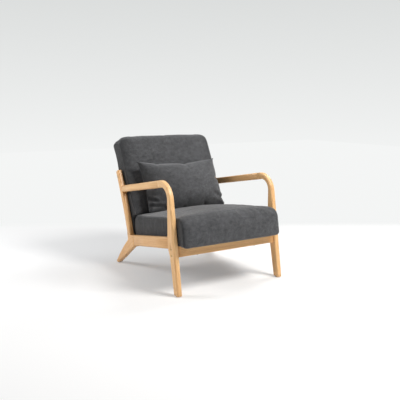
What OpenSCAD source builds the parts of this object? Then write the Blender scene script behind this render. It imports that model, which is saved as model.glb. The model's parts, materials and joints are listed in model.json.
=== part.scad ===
// Accent chair: two open timber side frames, an upholstered seat and back between them, and a loose
// lumbar pillow. Across is X, front to back is Y with the front at low Y, and up is Z from the floor.

/* [Side frames] */
// Width over the outer faces of the two side frames
overall_w = 660; // [600:1:760]
// Length of a side frame on the floor, toe of the front leg to heel of the rear leg
frame_l = 779; // [750:1:820]
// Thickness of the side frame timbers, across the chair
frame_t = 28; // [24:0.5:34]
// Radius of the rounded edges of the side frame timbers
edge_r = 8; // [3:0.5:10]
// Slope of the side rails, arms and seat, down towards the back, in degrees
seat_tilt = 10; // [7:0.5:12]
// Height of the top of the side rail where it meets the front leg
rail_front_z = 288; // [270:1:310]
// Depth of the side rail, square to its length
rail_h = 60; // [50:1:66]
// Length of the side rail's top edge, front leg to rear post
side_rail_l = 462; // [440:1:480]
// Clear height between the side rail and the arm, square to the rail
arm_gap = 250; // [220:1:280]
// Depth of the arm, square to its length
arm_t = 38; // [32:0.5:44]

/* [Legs and posts] */
// Backward lean of the front leg's front edge, in degrees from upright
leg_lean = 9; // [6:0.5:11]
// Front leg, front to back, at the foot
foot_d = 43; // [36:1:50]
// Front leg, front to back, where it starts to widen for the rail
shin_d = 51; // [44:1:56]
// Front leg, front to back, at the top of the side rail
knee_d = 62; // [58:1:70]
// Height over which the front leg widens below the side rail
flare_h = 76; // [50:1:90]
// Outer radius of the bend from the front leg into the arm
elbow_r = 105; // [80:1:130]
// Inner radius of the bend from the front leg into the arm
elbow_in_r = 56; // [40:1:70]
// Rear post, front to back, level with the floor
post_d = 39; // [34:0.5:44]
// Mean backward lean of the rear post, in degrees from upright
post_lean = 23; // [21:0.5:25]
// How far the middle of the rear post bows forward
post_bow = 9; // [0:0.5:12]
// Height of the rear post's top
post_top_z = 554; // [540:1:600]
// Drop from the rail's top to the inside of the bend between post and rear leg
kink_drop = 28; // [22:1:34]
// Radius of the bend between post and rear leg
kink_r = 40; // [25:1:50]
// Rear leg's foot, front to back
heel_d = 36; // [30:1:44]
// How far the rear leg's back edge bows out
heel_bow = 6; // [0:0.5:8]
// Length of the rear leg's head in front of the post
head_l = 45; // [40:1:55]
// Height of the glides under the feet
glide_h = 4; // [3:0.5:6]

/* [Cross rails] */
// Thickness of the front rail
front_rail_t = 28; // [24:0.5:32]
// Depth of the front rail
front_rail_h = 57; // [52:1:64]
// Distance of the front rail's middle in front of the side rail's end
front_rail_set = 31; // [28:0.5:36]
// Width of the rear rail, which lies flat
rear_rail_w = 54; // [50:1:58]
// Thickness of the rear rail
rear_rail_t = 20; // [18:0.5:24]

/* [Seat] */
// Gap between each side seam of the seat and the side frame beside it
seat_gap = 10; // [7:0.5:24]
// Distance that the seat reaches in front of the side rail's end
seat_front = 119; // [105:1:130]
// Gap between the seat's rear face and the rear post, along the rail
seat_rear_gap = 0; // [-3:0.5:3]
// Thickness of the seat at its edges
seat_h = 150; // [130:1:160]
// Distance from the side rail's top down to the seat's underside
seat_drop = 48; // [44:1:52]
// Crown of the seat's top
seat_crown = 20; // [4:0.5:24]
// Share of that crown that its side edges have
seat_edge_crown = 0.1; // [0:0.05:0.8]
// Radius of the seat's rounded rear top edge
seat_rear_r = 58; // [40:1:70]
// Radius of the seat's rounded front top edge
seat_front_r = 60; // [30:1:66]
// How far the seat's sides are drawn in at mid length
seat_pull = 3; // [0:0.5:6]

/* [Back] */
// Gap between each side seam of the back and the side frame beside it
back_gap = 6; // [5:0.5:24]
// Recline of the back, in degrees from upright
back_lean = 27.5; // [26:0.5:28]
// Thickness of the back at its edges
back_t = 118; // [104:1:126]
// Height of the top of the back
back_top_z = 750; // [700:1:790]
// How far the back's rear face stands behind the rear post at the post's top
back_proud = 32; // [28:1:42]
// Crown of the back's front face
back_crown = 8; // [2:0.5:12]
// Radius of the back's top corners, seen from the front
back_corner_r = 23; // [16:1:44]

/* [Pillow] */
// Length of the lumbar pillow across the chair
pillow_w = 508; // [420:1:540]
// Height of the lumbar pillow along the back
pillow_h = 312; // [240:1:330]
// Thickness of the lumbar pillow at its middle
pillow_t = 104; // [80:1:120]
// How far the pillow's sides are drawn in between its corners
pillow_pull = 9; // [0:0.5:14]

/* [Inner frames] */
// Timber thickness of the seat and back frames
timber_t = 22; // [18:0.5:26]
// Depth of the seat frame's timbers
seat_timber_h = 38; // [30:1:44]
// Wall of the cover with its wadding, round the frames and foam
wadding = 13; // [10:0.5:16]
// Thickness of the cover where it is folded under the seat
fold_t = 2; // [1.5:0.1:3]
// Thickness of the elastic webbing
web_t = 2; // [1.5:0.1:3]
// Width of a web
web_w = 50; // [40:1:60]
// Thickness of the board that carries the back
back_board_t = 15; // [12:0.5:16]

/* [Fasteners] */
// Diameter of the frame dowels
dowel_d = 8; // [6:0.5:10]
// Length of the frame dowels
dowel_l = 36; // [28:1:40]
// Diameter of the bolts
bolt_d = 6; // [5:0.5:8]
// Diameter of the bolt heads
bolt_head_d = 12; // [10:0.5:14]
// Height of the bolt heads
bolt_head_h = 3; // [2:0.25:4]
// Distance between the two bolts at each end of the front rail
bolt_pitch = 34; // [28:1:38]
// Distance of the barrel nuts from the front rail's ends
nut_in = 34; // [26:1:44]
// Diameter of the barrel nuts
nut_d = 10; // [9:0.5:12]
// Clearance round bolts, dowels and other fitted pieces, on the radius
fit = 0.15; // [0.1:0.05:0.3]
// Gap that keeps soft pieces clear of each other
soft_gap = 0.5; // [0.3:0.1:1]

/* [Hidden] */
$fn = 48;
wood = "burlywood";
cloth = "dimgray";
steel = "silver";
brass = "darkgoldenrod";

// Places in the plane of a side frame are [y, z], with y measured back from the front leg's toe
inner_x = overall_w / 2 - frame_t;
side_x = overall_w / 2 - frame_t / 2;
seat_w = 2 * (inner_x - seat_gap);
back_w = 2 * (inner_x - back_gap);
seat_dir = [cos(seat_tilt), -sin(seat_tilt)];
seat_up = [sin(seat_tilt), cos(seat_tilt)];
rail_o = [rail_front_z * tan(leg_lean) + knee_d, rail_front_z];

// Point u back along the side rail's top edge and v square above it
function sp(u, v) = rail_o + u * seat_dir + v * seat_up;
function mix(a, b, t) = a + (b - a) * t;
function unit(a) = a / norm(a);
function curve(a, c, b, t) = mix(mix(a, c, t), mix(c, b, t), t);
function turned(p) = [-p[1], p[0]];

// Arc of radius r that rounds corner c of the path a, c, b, as n + 1 points
function fillet(a, c, b, r, n) =
    let (da = unit(a - c), db = unit(b - c),
         half = acos(max(-1, min(1, da * db))) / 2,
         cut = min(r / tan(half), 0.48 * min(norm(a - c), norm(b - c))),
         rad = cut * tan(half),
         mid = c + unit(da + db) * rad / sin(half),
         pa = c + da * cut - mid, pb = c + db * cut - mid,
         sweep = 180 - 2 * half, s = (pa[0] * pb[1] - pa[1] * pb[0]) > 0 ? 1 : -1)
    [for (i = [0:n]) let (t = s * sweep * i / n)
        mid + [pa[0] * cos(t) - pa[1] * sin(t), pa[0] * sin(t) + pa[1] * cos(t)]];

// Closed outline with rounded corners, n + 1 points a corner and m more along each edge
function rounded(pts, radii, n, m) =
    let (k = len(pts),
         arcs = [for (i = [0:k - 1])
             fillet(pts[(i + k - 1) % k], pts[i], pts[(i + 1) % k], radii[i], n)])
    [for (i = [0:k - 1]) each concat(arcs[i],
        [for (j = [1:1:m]) mix(arcs[i][n], arcs[(i + 1) % k][0], j / (m + 1))])];

// The same closed path moved inwards by e, for a path that runs anticlockwise
function inset(pts, e) =
    let (k = len(pts))
    [for (i = [0:k - 1])
        let (na = turned(unit(pts[i] - pts[(i + k - 1) % k])),
             nb = turned(unit(pts[(i + 1) % k] - pts[i])))
        pts[i] + (na + nb) * e / (1 + na * nb)];

// Closed solid through a stack of closed loops with the same number of points
module skin(loops) {
    n = len(loops[0]);
    m = len(loops);
    walls = [for (i = [0:m - 2], j = [0:n - 1])
        let (a = i * n + j, b = i * n + (j + 1) % n)
        each [[a, a + n, b], [b, a + n, b + n]]];
    polyhedron(points = [for (l = loops) each l],
        faces = concat([[for (j = [0:n - 1]) j]],
            [[for (j = [n - 1:-1:0]) (m - 1) * n + j]], walls));
}

// Section of a timber between outer edge point a and inner edge point b, t thick across the chair
function section(a, b, t, ra, rb) =
    let (d = norm(b - a), e = (b - a) / d, n = 4,
         corners = [[d - rb, t / 2 - rb, rb, 0], [ra, t / 2 - ra, ra, 90],
             [ra, ra - t / 2, ra, 180], [d - rb, rb - t / 2, rb, 270]])
    [for (c = corners, i = [0:n])
        let (w = c[3] + 90 * i / n, s = c[0] + c[2] * cos(w))
        [c[1] + c[2] * sin(w), a[0] + e[0] * s, a[1] + e[1] * s]];

// Timber through rungs, each an outer point, an inner point, a thickness and two edge radii
module timber(rungs) skin([for (g = rungs) section(g[0], g[1], g[2], g[3], g[4])]);

// Rectangle with rounded corners, about its middle
module soft_square(a, b, r) {
    square([a - 2 * r, b], center = true);
    square([a, b - 2 * r], center = true);
    for (x = [-1, 1], y = [-1, 1]) translate([x * (a / 2 - r), y * (b / 2 - r)]) circle(r);
}

// Moves to [y, z] in the side frame's plane and turns +X along the direction at angle a
module at_frame(p, x = 0, a = 0) translate([x, p[0], p[1]]) rotate([a, 0, 0]) children();

// Lays children drawn with u along Y and v along Z onto the sloping seat lines
module on_seat() at_frame(rail_o, 0, -seat_tilt) children();

// Puts the chair's own middle, front to back, on the origin
module centred() translate([0, -(chair_front + chair_rear) / 2, 0]) children();

// Front leg edges
rail_joint_r = 2;
fade = 12;
function leg_front(z) = z * tan(leg_lean);
knee_low = sp(0, -rail_h);
shin = [leg_front(knee_low[1] - flare_h) + shin_d, knee_low[1] - flare_h];
shin_slope = (shin[0] - foot_d) / shin[1];
flare_mid = [shin[0] + shin_slope * flare_h * 0.6, shin[1] + flare_h * 0.6];
function leg_rung(p, r) = [[leg_front(p[1]), p[1]], p, frame_t, edge_r, r];

// Elbow corners, where the edges of leg and arm would meet
arm_top = sp(0, arm_gap + arm_t);
arm_low = sp(0, arm_gap);
outer_u = (tan(leg_lean) * arm_top[1] - arm_top[0]) / (seat_dir[0] - tan(leg_lean) * seat_dir[1]);
outer_corner = arm_top + outer_u * seat_dir;
inner_u = (rail_o[0] - arm_low[0]) / seat_dir[0];
inner_corner = arm_low + inner_u * seat_dir;
elbow_out = fillet([leg_front(rail_front_z), rail_front_z], outer_corner, sp(side_rail_l, arm_gap + arm_t),
    elbow_r, 10);
elbow_in = fillet(rail_o, inner_corner, sp(side_rail_l, arm_gap), elbow_in_r, 10);
// Where the arm is joined on, a little behind the end of the bend
arm_u = (max((elbow_out[10] - rail_o) * seat_dir, (elbow_in[10] - rail_o) * seat_dir)) + 12;

leg_rungs = concat(
    [for (t = [0, 0.5, 1]) leg_rung(mix([foot_d + shin_slope * glide_h, glide_h], shin, t), edge_r)],
    [for (t = [0.3, 0.6, 0.84]) leg_rung(curve(shin, flare_mid, knee_low, t), edge_r)],
    [leg_rung(knee_low, rail_joint_r), leg_rung(rail_o, rail_joint_r)],
    [leg_rung(rail_o + [0, fade], edge_r)],
    [for (i = [0:10]) [elbow_out[i], elbow_in[i], frame_t, edge_r, edge_r]],
    [[sp(arm_u, arm_gap + arm_t), sp(arm_u, arm_gap), frame_t, edge_r, edge_r]]);

// Rear post edges, from its front foot on the rail's top
post_foot = sp(side_rail_l, 0);
function post_front(z) =
    let (h = post_top_z - post_foot[1], t = (z - post_foot[1]) / h)
    post_foot[0] + h * t * tan(post_lean) - 4 * post_bow * t * (1 - t);
function post_rear(z) = post_front(z) + post_d;
// Height at which edge d of the post crosses the seat line v, by repeated correction
function post_meets(d, v, z, n = 8) =
    n == 0 ? z : post_meets(d, v, sp(0, v)[1] - (post_front(z) + d - sp(0, v)[0]) * tan(seat_tilt), n - 1);
heel_top_z = post_meets(post_d, 0, post_foot[1]);
heel_top = [post_rear(heel_top_z), heel_top_z];
arm_low_z = post_meets(0, arm_gap, arm_low[1]);
arm_top_z = post_meets(0, arm_gap + arm_t, arm_top[1]);
post_end_lean = atan((post_rear(post_top_z) - post_rear(post_top_z - 20)) / 20);

// A rung across the post, with its front end raised by the end cut's share k
function post_rung(z, k, shrink, t, r, rf) =
    let (rise = k * post_d * cos(post_end_lean) * sin(post_end_lean),
         a = [post_rear(z), z], b = [post_front(z + rise), z + rise], e = unit(b - a))
    [a + e * shrink, b - e * shrink, t, r, rf];
post_rungs = concat(
    [[heel_top, post_foot, frame_t, rail_joint_r, rail_joint_r]],
    [for (z = [post_foot[1] + fade, mix(post_foot[1], arm_low_z, 0.3), mix(post_foot[1], arm_low_z, 0.65),
        arm_low_z - fade]) post_rung(z, 0, 0, frame_t, edge_r, edge_r)],
    [for (z = [arm_low_z, arm_top_z]) post_rung(z, 0, 0, frame_t, edge_r, rail_joint_r)],
    [post_rung(arm_top_z + fade, 0, 0, frame_t, edge_r, edge_r)],
    [post_rung(mix(arm_top_z, post_top_z, 0.6), 0.5, 0, frame_t, edge_r, edge_r)],
    [for (g = [[9, 0, 0], [4, 1.2, 1.5], [1.4, 3.4, 3], [0, 7, 6]])
        post_rung(post_top_z - g[0], 1, g[1], frame_t - g[2], edge_r - 1, edge_r - 1)]);

// Rear leg edges
kink_z = post_foot[1] - kink_drop;
kink = [post_rear(kink_z), kink_z];
heel = [frame_l, glide_h];
root_u = side_rail_l - head_l;
root = sp(root_u, -rail_h);
heel_toe = [frame_l - heel_d, glide_h];
kink_arc = fillet(heel_top, kink, heel, kink_r, 4);
heel_out = turned(unit(kink - heel)) * -1;
leg_back = concat(kink_arc, [for (t = [0.25, 0.5, 0.75, 1])
    mix(kink_arc[4], heel, t) + heel_out * 4 * heel_bow * t * (1 - t)]);
function under(t) = mix(root, heel_toe, t);
heel_rungs = concat(
    [[sp(root_u, 0), root, frame_t, edge_r, edge_r]],
    [[sp(side_rail_l - fade, 0), under(0.08), frame_t, edge_r, edge_r]],
    [[post_foot, under(0.12), frame_t, rail_joint_r, edge_r]],
    [[mix(post_foot, heel_top, 0.97), under(0.2), frame_t, rail_joint_r, edge_r]],
    [for (i = [0:8]) [leg_back[i], under(0.24 + 0.76 * i / 8), frame_t, edge_r, edge_r]]);

// Dowel pairs, each the middle of a joint, the direction of its dowels and how far apart they are
post_lean_low = atan((post_front(post_foot[1] + 20) - post_foot[0]) / 20);
dowel_joints = [
    [sp(arm_u, arm_gap + arm_t / 2), -seat_tilt, arm_t * 0.22],
    [[post_front((arm_low_z + arm_top_z) / 2), (arm_low_z + arm_top_z) / 2], -seat_tilt, arm_t * 0.22],
    [sp(0, -rail_h / 2), -seat_tilt, rail_h * 0.24],
    [sp(root_u, -rail_h / 2), -seat_tilt, rail_h * 0.24],
    [mix(post_foot, heel_top, 0.5), 90 - post_lean_low, post_d * 0.22]];

module dowel_pairs(which, grow = 0)
    for (i = which, s = [-1, 1])
        let (j = dowel_joints[i])
        at_frame(j[0], 0, j[1]) translate([0, 0, s * j[2]]) rotate([90, 0, 0])
            cylinder(h = dowel_l + 2 * grow, d = dowel_d + 2 * grow, center = true);

module at_side(s) translate([s * side_x, 0, 0]) children();

// Front rail and its bolts, whose heads lie a little below the faces of the legs
rail_top_v = -seat_drop;
bolt_low = 1;
bolt_v = rail_top_v - front_rail_h / 2 - bolt_low;
bolt_past = 6;
bolt_len = frame_t + nut_in + nut_d / 2 + bolt_past;
head_below = 0.6;
bolt_sink = bolt_head_h + head_below;

// Bolt along +X from the top of its head at the origin, with a hexagon socket
module bolt(l, grow = 0) {
    difference() {
        union() {
            rotate([0, 90, 0]) cylinder(h = bolt_head_h, d = bolt_head_d + 2 * grow);
            rotate([0, 90, 0]) cylinder(h = l, d = bolt_d + 2 * grow);
        }
        if (grow == 0) translate([-1, 0, 0]) rotate([0, 90, 0])
            cylinder(h = 1 + bolt_head_h * 0.7, d = bolt_d * 0.75, $fn = 6);
    }
}

// Hole for such a bolt, with a recess that takes its head below the face
module bolt_hole(l) {
    translate([-bolt_sink - 1, 0, 0]) rotate([0, 90, 0])
        cylinder(h = bolt_sink + 1 + bolt_head_h + fit, d = bolt_head_d + 2 * fit);
    rotate([0, 90, 0]) cylinder(h = l + 2, d = bolt_d + 2 * fit);
}

module rail_bolt_places()
    for (s = [-1, 1], k = [-1, 1])
        on_seat() translate([s * (overall_w / 2 - head_below), -front_rail_set, bolt_v + k * bolt_pitch / 2])
            rotate([0, 0, s > 0 ? 180 : 0]) children();

module rail_bolts() color(brass) centred() rail_bolt_places() bolt(bolt_len);

module barrel_nut_places()
    for (s = [-1, 1], k = [-1, 1])
        on_seat() translate([s * (inner_x - nut_in), -front_rail_set, bolt_v + k * bolt_pitch / 2])
            children();

nut_end = 0.5;
nut_l = front_rail_t - 12 * nut_end;
module barrel_nuts() color(steel) centred() barrel_nut_places() difference() {
    translate([0, front_rail_t / 2 - nut_end, 0]) rotate([90, 0, 0]) cylinder(h = nut_l, d = nut_d);
    rotate([0, 90, 0]) cylinder(h = nut_d + 2, d = bolt_d + 2 * fit, center = true);
}

// Side frame timbers
module front_leg(s) color(wood) centred() difference() {
    at_side(s) timber(leg_rungs);
    at_side(s) dowel_pairs([0, 2], fit);
    rail_bolt_places() bolt_hole(bolt_len);
    glide_holes();
}

module arm(s) color(wood) centred() difference() {
    at_side(s) at_frame(sp(arm_u, arm_gap + arm_t / 2), 0, 90 - seat_tilt)
        rotate([0, 0, 90]) mirror([0, 0, 1]) linear_extrude(side_rail_l)
            soft_square(arm_t, frame_t, edge_r);
    at_side(s) at_frame([post_front(arm_low_z), arm_low_z], 0, 90 - atan((post_front(arm_top_z)
        - post_front(arm_low_z)) / (arm_top_z - arm_low_z)))
        translate([-frame_t, -arm_t * 3, -side_rail_l]) cube([2 * frame_t, arm_t * 6, side_rail_l]);
    at_side(s) dowel_pairs([0, 1], fit);
}

module rear_post(s) color(wood) centred() difference() {
    at_side(s) timber(post_rungs);
    at_side(s) dowel_pairs([1, 4], fit);
    back_bolt_places() bolt_hole(back_bolt_len);
}

module side_rail(s) color(wood) centred() difference() {
    at_side(s) at_frame(sp(0, -rail_h / 2), 0, 90 - seat_tilt)
        rotate([0, 0, 90]) mirror([0, 0, 1]) linear_extrude(root_u)
            soft_square(rail_h, frame_t, edge_r);
    at_side(s) dowel_pairs([2, 3], fit);
}

module rear_leg(s) color(wood) centred() difference() {
    at_side(s) timber(heel_rungs);
    at_side(s) dowel_pairs([3, 4], fit);
    rear_dowels(fit);
    bracket_screw_places() screw(grow = fit);
    glide_holes();
}

module frame_dowels() color(wood) centred() {
    for (s = [-1, 1]) at_side(s) dowel_pairs([0, 1, 2, 3, 4]);
    rear_dowels();
}

// Bar across the chair on the seat lines, its section from u0 to u1 and from v0 to v1
module cross_bar(l, u0, u1, v0, v1, r) on_seat()
    translate([-l / 2, (u0 + u1) / 2, (v0 + v1) / 2]) rotate([90, 0, 90]) linear_extrude(l)
        soft_square(u1 - u0, v1 - v0, r);

module front_rail() color(wood) centred() difference() {
    cross_bar(2 * inner_x, -front_rail_set - front_rail_t / 2, -front_rail_set + front_rail_t / 2,
        rail_top_v - front_rail_h, rail_top_v, 3);
    rail_bolt_places() bolt_hole(bolt_len);
    barrel_nut_places() translate([0, front_rail_t / 2 + 1, 0]) rotate([90, 0, 0])
        cylinder(h = nut_l + 1 + nut_end + fit, d = nut_d + 2 * fit);
    seat_bolt_places(0) screw_hole(seat_bolt_front_l);
}

// Rear rail, flat under the seat's and the back's rear ends
rear_rail_over = 28;
rear_u1 = side_rail_l + rear_rail_over;
rear_u0 = rear_u1 - rear_rail_w;
rear_v0 = rail_top_v - rear_rail_t;

module rear_dowels(grow = 0) on_seat() for (s = [-1, 1], k = [-1, 1])
    translate([s * inner_x, (rear_u0 + rear_u1) / 2 + k * rear_rail_w * 0.18, rail_top_v - rear_rail_t / 2])
        rotate([0, 90, 0]) cylinder(h = dowel_l + 2 * grow, d = dowel_d + 2 * grow, center = true);

module rear_rail() color(wood) centred() difference() {
    cross_bar(2 * inner_x, rear_u0, rear_u1, rear_v0, rail_top_v, 3);
    rear_dowels(fit);
    bracket_screw_places() screw(grow = fit);
    seat_bolt_places(1) screw_hole(seat_bolt_rear_l);
    back_screw_places() screw_hole(back_screw_l);
}

// Steel angles between the rear rail's front face and the rear legs' heads
angle_t = 2;
angle_h = 14;
angle_l = 22;
angle_in = 15;
angle_v = rail_top_v - (rear_rail_t - angle_h) / 2 - angle_h / 2;
screw_l = 14;
screw_d = 3.5;
screw_head_d = 6.5;
screw_head_h = 1.6;

module corner_brackets() color(steel) centred() on_seat() for (s = [-1, 1]) difference() {
    union() {
        translate([s * (inner_x - angle_t / 2), rear_u0 - angle_l / 2, angle_v])
            cube([angle_t, angle_l, angle_h], center = true);
        translate([s * (inner_x - angle_l / 2), rear_u0 - angle_t / 2, angle_v])
            cube([angle_l, angle_t, angle_h], center = true);
    }
    translate([s * (inner_x - 1), rear_u0 - angle_in, angle_v]) rotate([0, 90, 0])
        cylinder(h = 8, d = screw_d + 2 * fit, center = true);
    translate([s * (inner_x - angle_in), rear_u0, angle_v]) rotate([90, 0, 0])
        cylinder(h = 8, d = screw_d + 2 * fit, center = true);
}

// Screw along +X with the underside of its head at the origin
module screw(grow = 0) rotate([0, 90, 0]) {
    translate([0, 0, -screw_head_h]) cylinder(h = screw_head_h, d = screw_head_d);
    translate([0, 0, -screw_head_h / 2]) cylinder(h = screw_l + screw_head_h / 2 + grow,
        d = screw_d + 2 * grow);
}

module bracket_screw_places() on_seat() for (s = [-1, 1]) {
    translate([s * (inner_x - angle_t), rear_u0 - angle_in, angle_v])
        rotate([0, 0, s > 0 ? 0 : 180]) children();
    translate([s * (inner_x - angle_in), rear_u0 - angle_t, angle_v])
        rotate([0, 0, 90]) children();
}
module bracket_screws() color(steel) centred() bracket_screw_places() screw();

// Glides, each a pad with a pin up into the foot
glide_pad_d = 20;
glide_pin_d = 5;
glide_pin_l = 14;
glide_places = [(foot_d + shin_slope * glide_h + leg_front(glide_h)) / 2, frame_l - heel_d / 2];
module glide_at(y, s, grow = 0) translate([s * side_x, y, 0]) {
    cylinder(h = glide_h, d = glide_pad_d);
    translate([0, 0, glide_h / 2]) cylinder(h = glide_pin_l + grow, d = glide_pin_d + 2 * grow);
}
module glide_holes() for (y = glide_places, s = [-1, 1]) glide_at(y, s, fit);
module foot_glides() color("dimgray") centred()
    for (y = glide_places, s = [-1, 1]) glide_at(y, s);

// Seat: outline from its rear underside round the front, on the seat lines
seat_u0 = -seat_front;
seat_u1 = side_rail_l - seat_rear_gap;
seat_v0 = -seat_drop;
seat_v1 = seat_h - seat_drop;
chin_u = seat_u1 - seat_rear_r;
// The padded lip in front of the front rail hangs down by the droop, its underside a little full
seat_droop = 13;
seat_belly = 5;
seat_lip_u = -front_rail_set - front_rail_t / 2 - 2;
seat_outline = [[seat_u1, seat_v0], [seat_u1, seat_v1], [seat_u0, seat_v1],
    [seat_u0, seat_v0 - seat_droop], [seat_lip_u, seat_v0]];
seat_radii = [8, seat_rear_r, seat_front_r, 18, 24];
function bump(t) = max(0, 1 - t * t);
// Bulge of the front face, and how much the top rises at the rear and falls at the front
seat_push = 6;
seat_wedge = 10;

// Share of the seat's half length at u, and how far its top stands above its flat height there
function seat_share(u) = (2 * u - seat_u0 - chin_u) / (chin_u - seat_u0);
function seat_lift(x, u) = seat_crown * mix(seat_edge_crown, 1, bump(2 * x / seat_w)) * bump(seat_share(u))
    + seat_wedge * seat_share(u);

// One loop of the seat at x, moved in by e, with its crown and drawn-in sides
function seat_loop(x, e) =
    let (half = seat_w / 2)
    [for (p = rounded(inset(seat_outline, e), [for (r = seat_radii) max(2, r - e)], 5, 4))
        let (su = seat_share(p[0]),
             sv = 2 * (p[1] - seat_v0) / seat_h - 1,
             lip = (seat_lip_u - p[0]) / (seat_lip_u - seat_u0),
             lift = seat_lift(x, p[0]) * max(0, sv)
                 - 4 * seat_belly * max(0, lip) * max(0, 1 - lip) * max(0, -sv),
             push = seat_push * bump(x / half) * bump(sv) * max(0, -su),
             q = sp(p[0] - push, p[1] + lift),
             xx = x * (1 - seat_pull * bump(su) / half))
        [xx, q[0], q[1]]];
puff = 4;
// Stations across a boxed cushion of half width h, each [x, inset]
function stations(h) = let (ends = [[h + puff, 52], [h + puff * 0.8, 28], [h + puff * 0.3, 8], [h - 3, 2],
        [h - 11, 0]])
    concat([for (g = ends) [-g[0], g[1]]], [for (t = [-0.75:0.25:0.75]) [h * t, 0]],
        [for (i = [4:-1:0]) ends[i]]);

// Spaces inside the seat cover, the upper one stepped in at its front
nose_extra = 8;
foam_step_u = 30;
foam_step_v = 12;
hollow_x = seat_w / 2 - wadding;
hollow_u0 = seat_u0 + wadding + nose_extra;
hollow_u1 = seat_u1 - wadding;
hollow_v0 = seat_v0 + fold_t;
hollow_v1 = seat_v1 - wadding;
// Opening in the folded underside, inside the line of staples
fold_u0 = front_rail_t / 2 - front_rail_set + 19;
fold_u1 = rear_u0 - 24;
fold_x = hollow_x - 30;

// Box on the seat lines, from u0 to u1 and v0 to v1, centred across
module seat_box(w, u0, u1, v0, v1) on_seat() translate([-w / 2, u0, v0]) cube([w, u1 - u0, v1 - v0]);

module seat_cover() color(cloth) centred() difference() {
    skin([for (g = stations(seat_w / 2)) seat_loop(g[0], g[1])]);
    seat_box(2 * hollow_x, hollow_u0, hollow_u1, hollow_v0, hollow_v1 - foam_step_v);
    seat_box(2 * hollow_x, hollow_u0 + foam_step_u, chin_u, hollow_v1 - foam_step_v - 1, hollow_v1);
    seat_box(2 * fold_x, fold_u0, fold_u1, seat_v0 - 4, hollow_v0 + 1);
    seat_bolt_places(0) screw_hole(seat_bolt_front_l);
    seat_bolt_places(1) screw_hole(seat_bolt_rear_l);
}

timber_top = hollow_v0 + seat_timber_h;
spreader_w = 44;
// Middle spreader and the places where the frame is open between its timbers
spreader_u = (hollow_u1 + spreader_w / 2 - front_rail_set) / 2;
module seat_frame() color("wheat") centred() difference() {
    seat_box(2 * (hollow_x - fit), hollow_u0 + fit, hollow_u1 - fit, hollow_v0 + fit, timber_top);
    for (g = [[hollow_u0 + timber_t, -front_rail_set - spreader_w / 2],
            [-front_rail_set + spreader_w / 2, spreader_u],
            [spreader_u + timber_t, hollow_u1 - 2 * timber_t]])
        seat_box(2 * (hollow_x - timber_t), g[0], g[1], hollow_v0 - 1, timber_top + 1);
    seat_bolt_places(0) screw_hole(seat_bolt_front_l);
    seat_bolt_places(1) screw_hole(seat_bolt_rear_l);
    seat_nut_places() seat_nut_shape(fit, 0);
}

// Webs run both ways over the seat frame, the cross webs resting on the long ones
web_in = 4;
long_web_x = hollow_x - timber_t - web_w;
cross_web_u = [hollow_u0 + timber_t + web_w, hollow_u1 - 2 * timber_t - web_w];
module seat_webbing() color("saddlebrown") centred() {
    for (t = [-1:0.5:1]) on_seat() translate([t * long_web_x - web_w / 2, hollow_u0 + web_in, timber_top])
        cube([web_w, hollow_u1 - hollow_u0 - 2 * web_in, web_t]);
    for (t = [0:0.25:1]) let (u = mix(cross_web_u[0], cross_web_u[1], t))
        seat_box(2 * (hollow_x - web_in), u - web_w / 2, u + web_w / 2, timber_top + web_t,
            timber_top + 2 * web_t);
}

foam_v0 = timber_top + 2 * web_t;
module seat_foam() color("khaki") centred() {
    seat_box(2 * (hollow_x - soft_gap), hollow_u0 + soft_gap, hollow_u1 - soft_gap, foam_v0,
        hollow_v1 - foam_step_v - soft_gap);
    seat_box(2 * (hollow_x - soft_gap), hollow_u0 + foam_step_u + soft_gap, chin_u - soft_gap,
        hollow_v1 - foam_step_v - soft_gap, hollow_v1 - soft_gap);
}

dust_t = 0.8;
module seat_dust_cover() color([0.12, 0.12, 0.13]) centred()
    seat_box(2 * fold_x + 16, 2 - front_rail_set + front_rail_t / 2, rear_u0 - 4, seat_v0 - dust_t, seat_v0);

// Bolts up through the cross rails into nuts in the seat frame
seat_bolt_in = 112;
seat_bolt_bite = 20;
seat_bolt_x = seat_w / 2 - seat_bolt_in;
seat_bolt_front_l = front_rail_h + fold_t + seat_bolt_bite;
seat_bolt_rear_l = rear_rail_t + fold_t + seat_bolt_bite;
seat_bolt_rear_u = (rear_u0 + hollow_u1) / 2;
module seat_bolt_places(rear) for (s = [-1, 1]) on_seat()
    translate([s * seat_bolt_x, rear ? seat_bolt_rear_u : -front_rail_set,
        rear ? rear_v0 - bolt_head_h : rail_top_v - front_rail_h - bolt_head_h])
        rotate([0, -90, 0]) children();
module screw_hole(l) translate([bolt_head_h - 0.01, 0, 0]) rotate([0, 90, 0])
    cylinder(h = l + 3, d = bolt_d + 2 * fit);
module seat_bolts_front() color(steel) centred() seat_bolt_places(0) bolt(seat_bolt_front_l + bolt_head_h);
module seat_bolts_rear() color(steel) centred() seat_bolt_places(1) bolt(seat_bolt_rear_l + bolt_head_h);

seat_nut_l = 16;
seat_nut_up = 4;
module seat_nut_places() for (s = [-1, 1], u = [-front_rail_set, seat_bolt_rear_u]) on_seat()
    translate([s * seat_bolt_x, u, hollow_v0 + seat_nut_up]) children();
module seat_nut_shape(grow, bore) difference() {
    cylinder(h = seat_nut_l + grow, d = bolt_d + seat_nut_up + 2 * grow);
    if (bore > 0) translate([0, 0, -1]) cylinder(h = seat_nut_l + 2, d = bore);
}
module seat_nuts() color(steel) centred() seat_nut_places() seat_nut_shape(0, bolt_d + 2 * fit);

// Back: its rear line leans at back_lean behind the posts
back_rear_at = [post_rear(post_top_z) + back_proud, post_top_z];
back_dir = [sin(back_lean), cos(back_lean)];
back_out = [-cos(back_lean), sin(back_lean)];
function bp(p, q) = back_rear_at + p * back_dir + q * back_out;
back_top_p = (back_top_z - back_rear_at[1] - back_t * sin(back_lean) * 0.75) / cos(back_lean);
back_low = sp(seat_u1 + soft_gap, rail_top_v + soft_gap);
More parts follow.
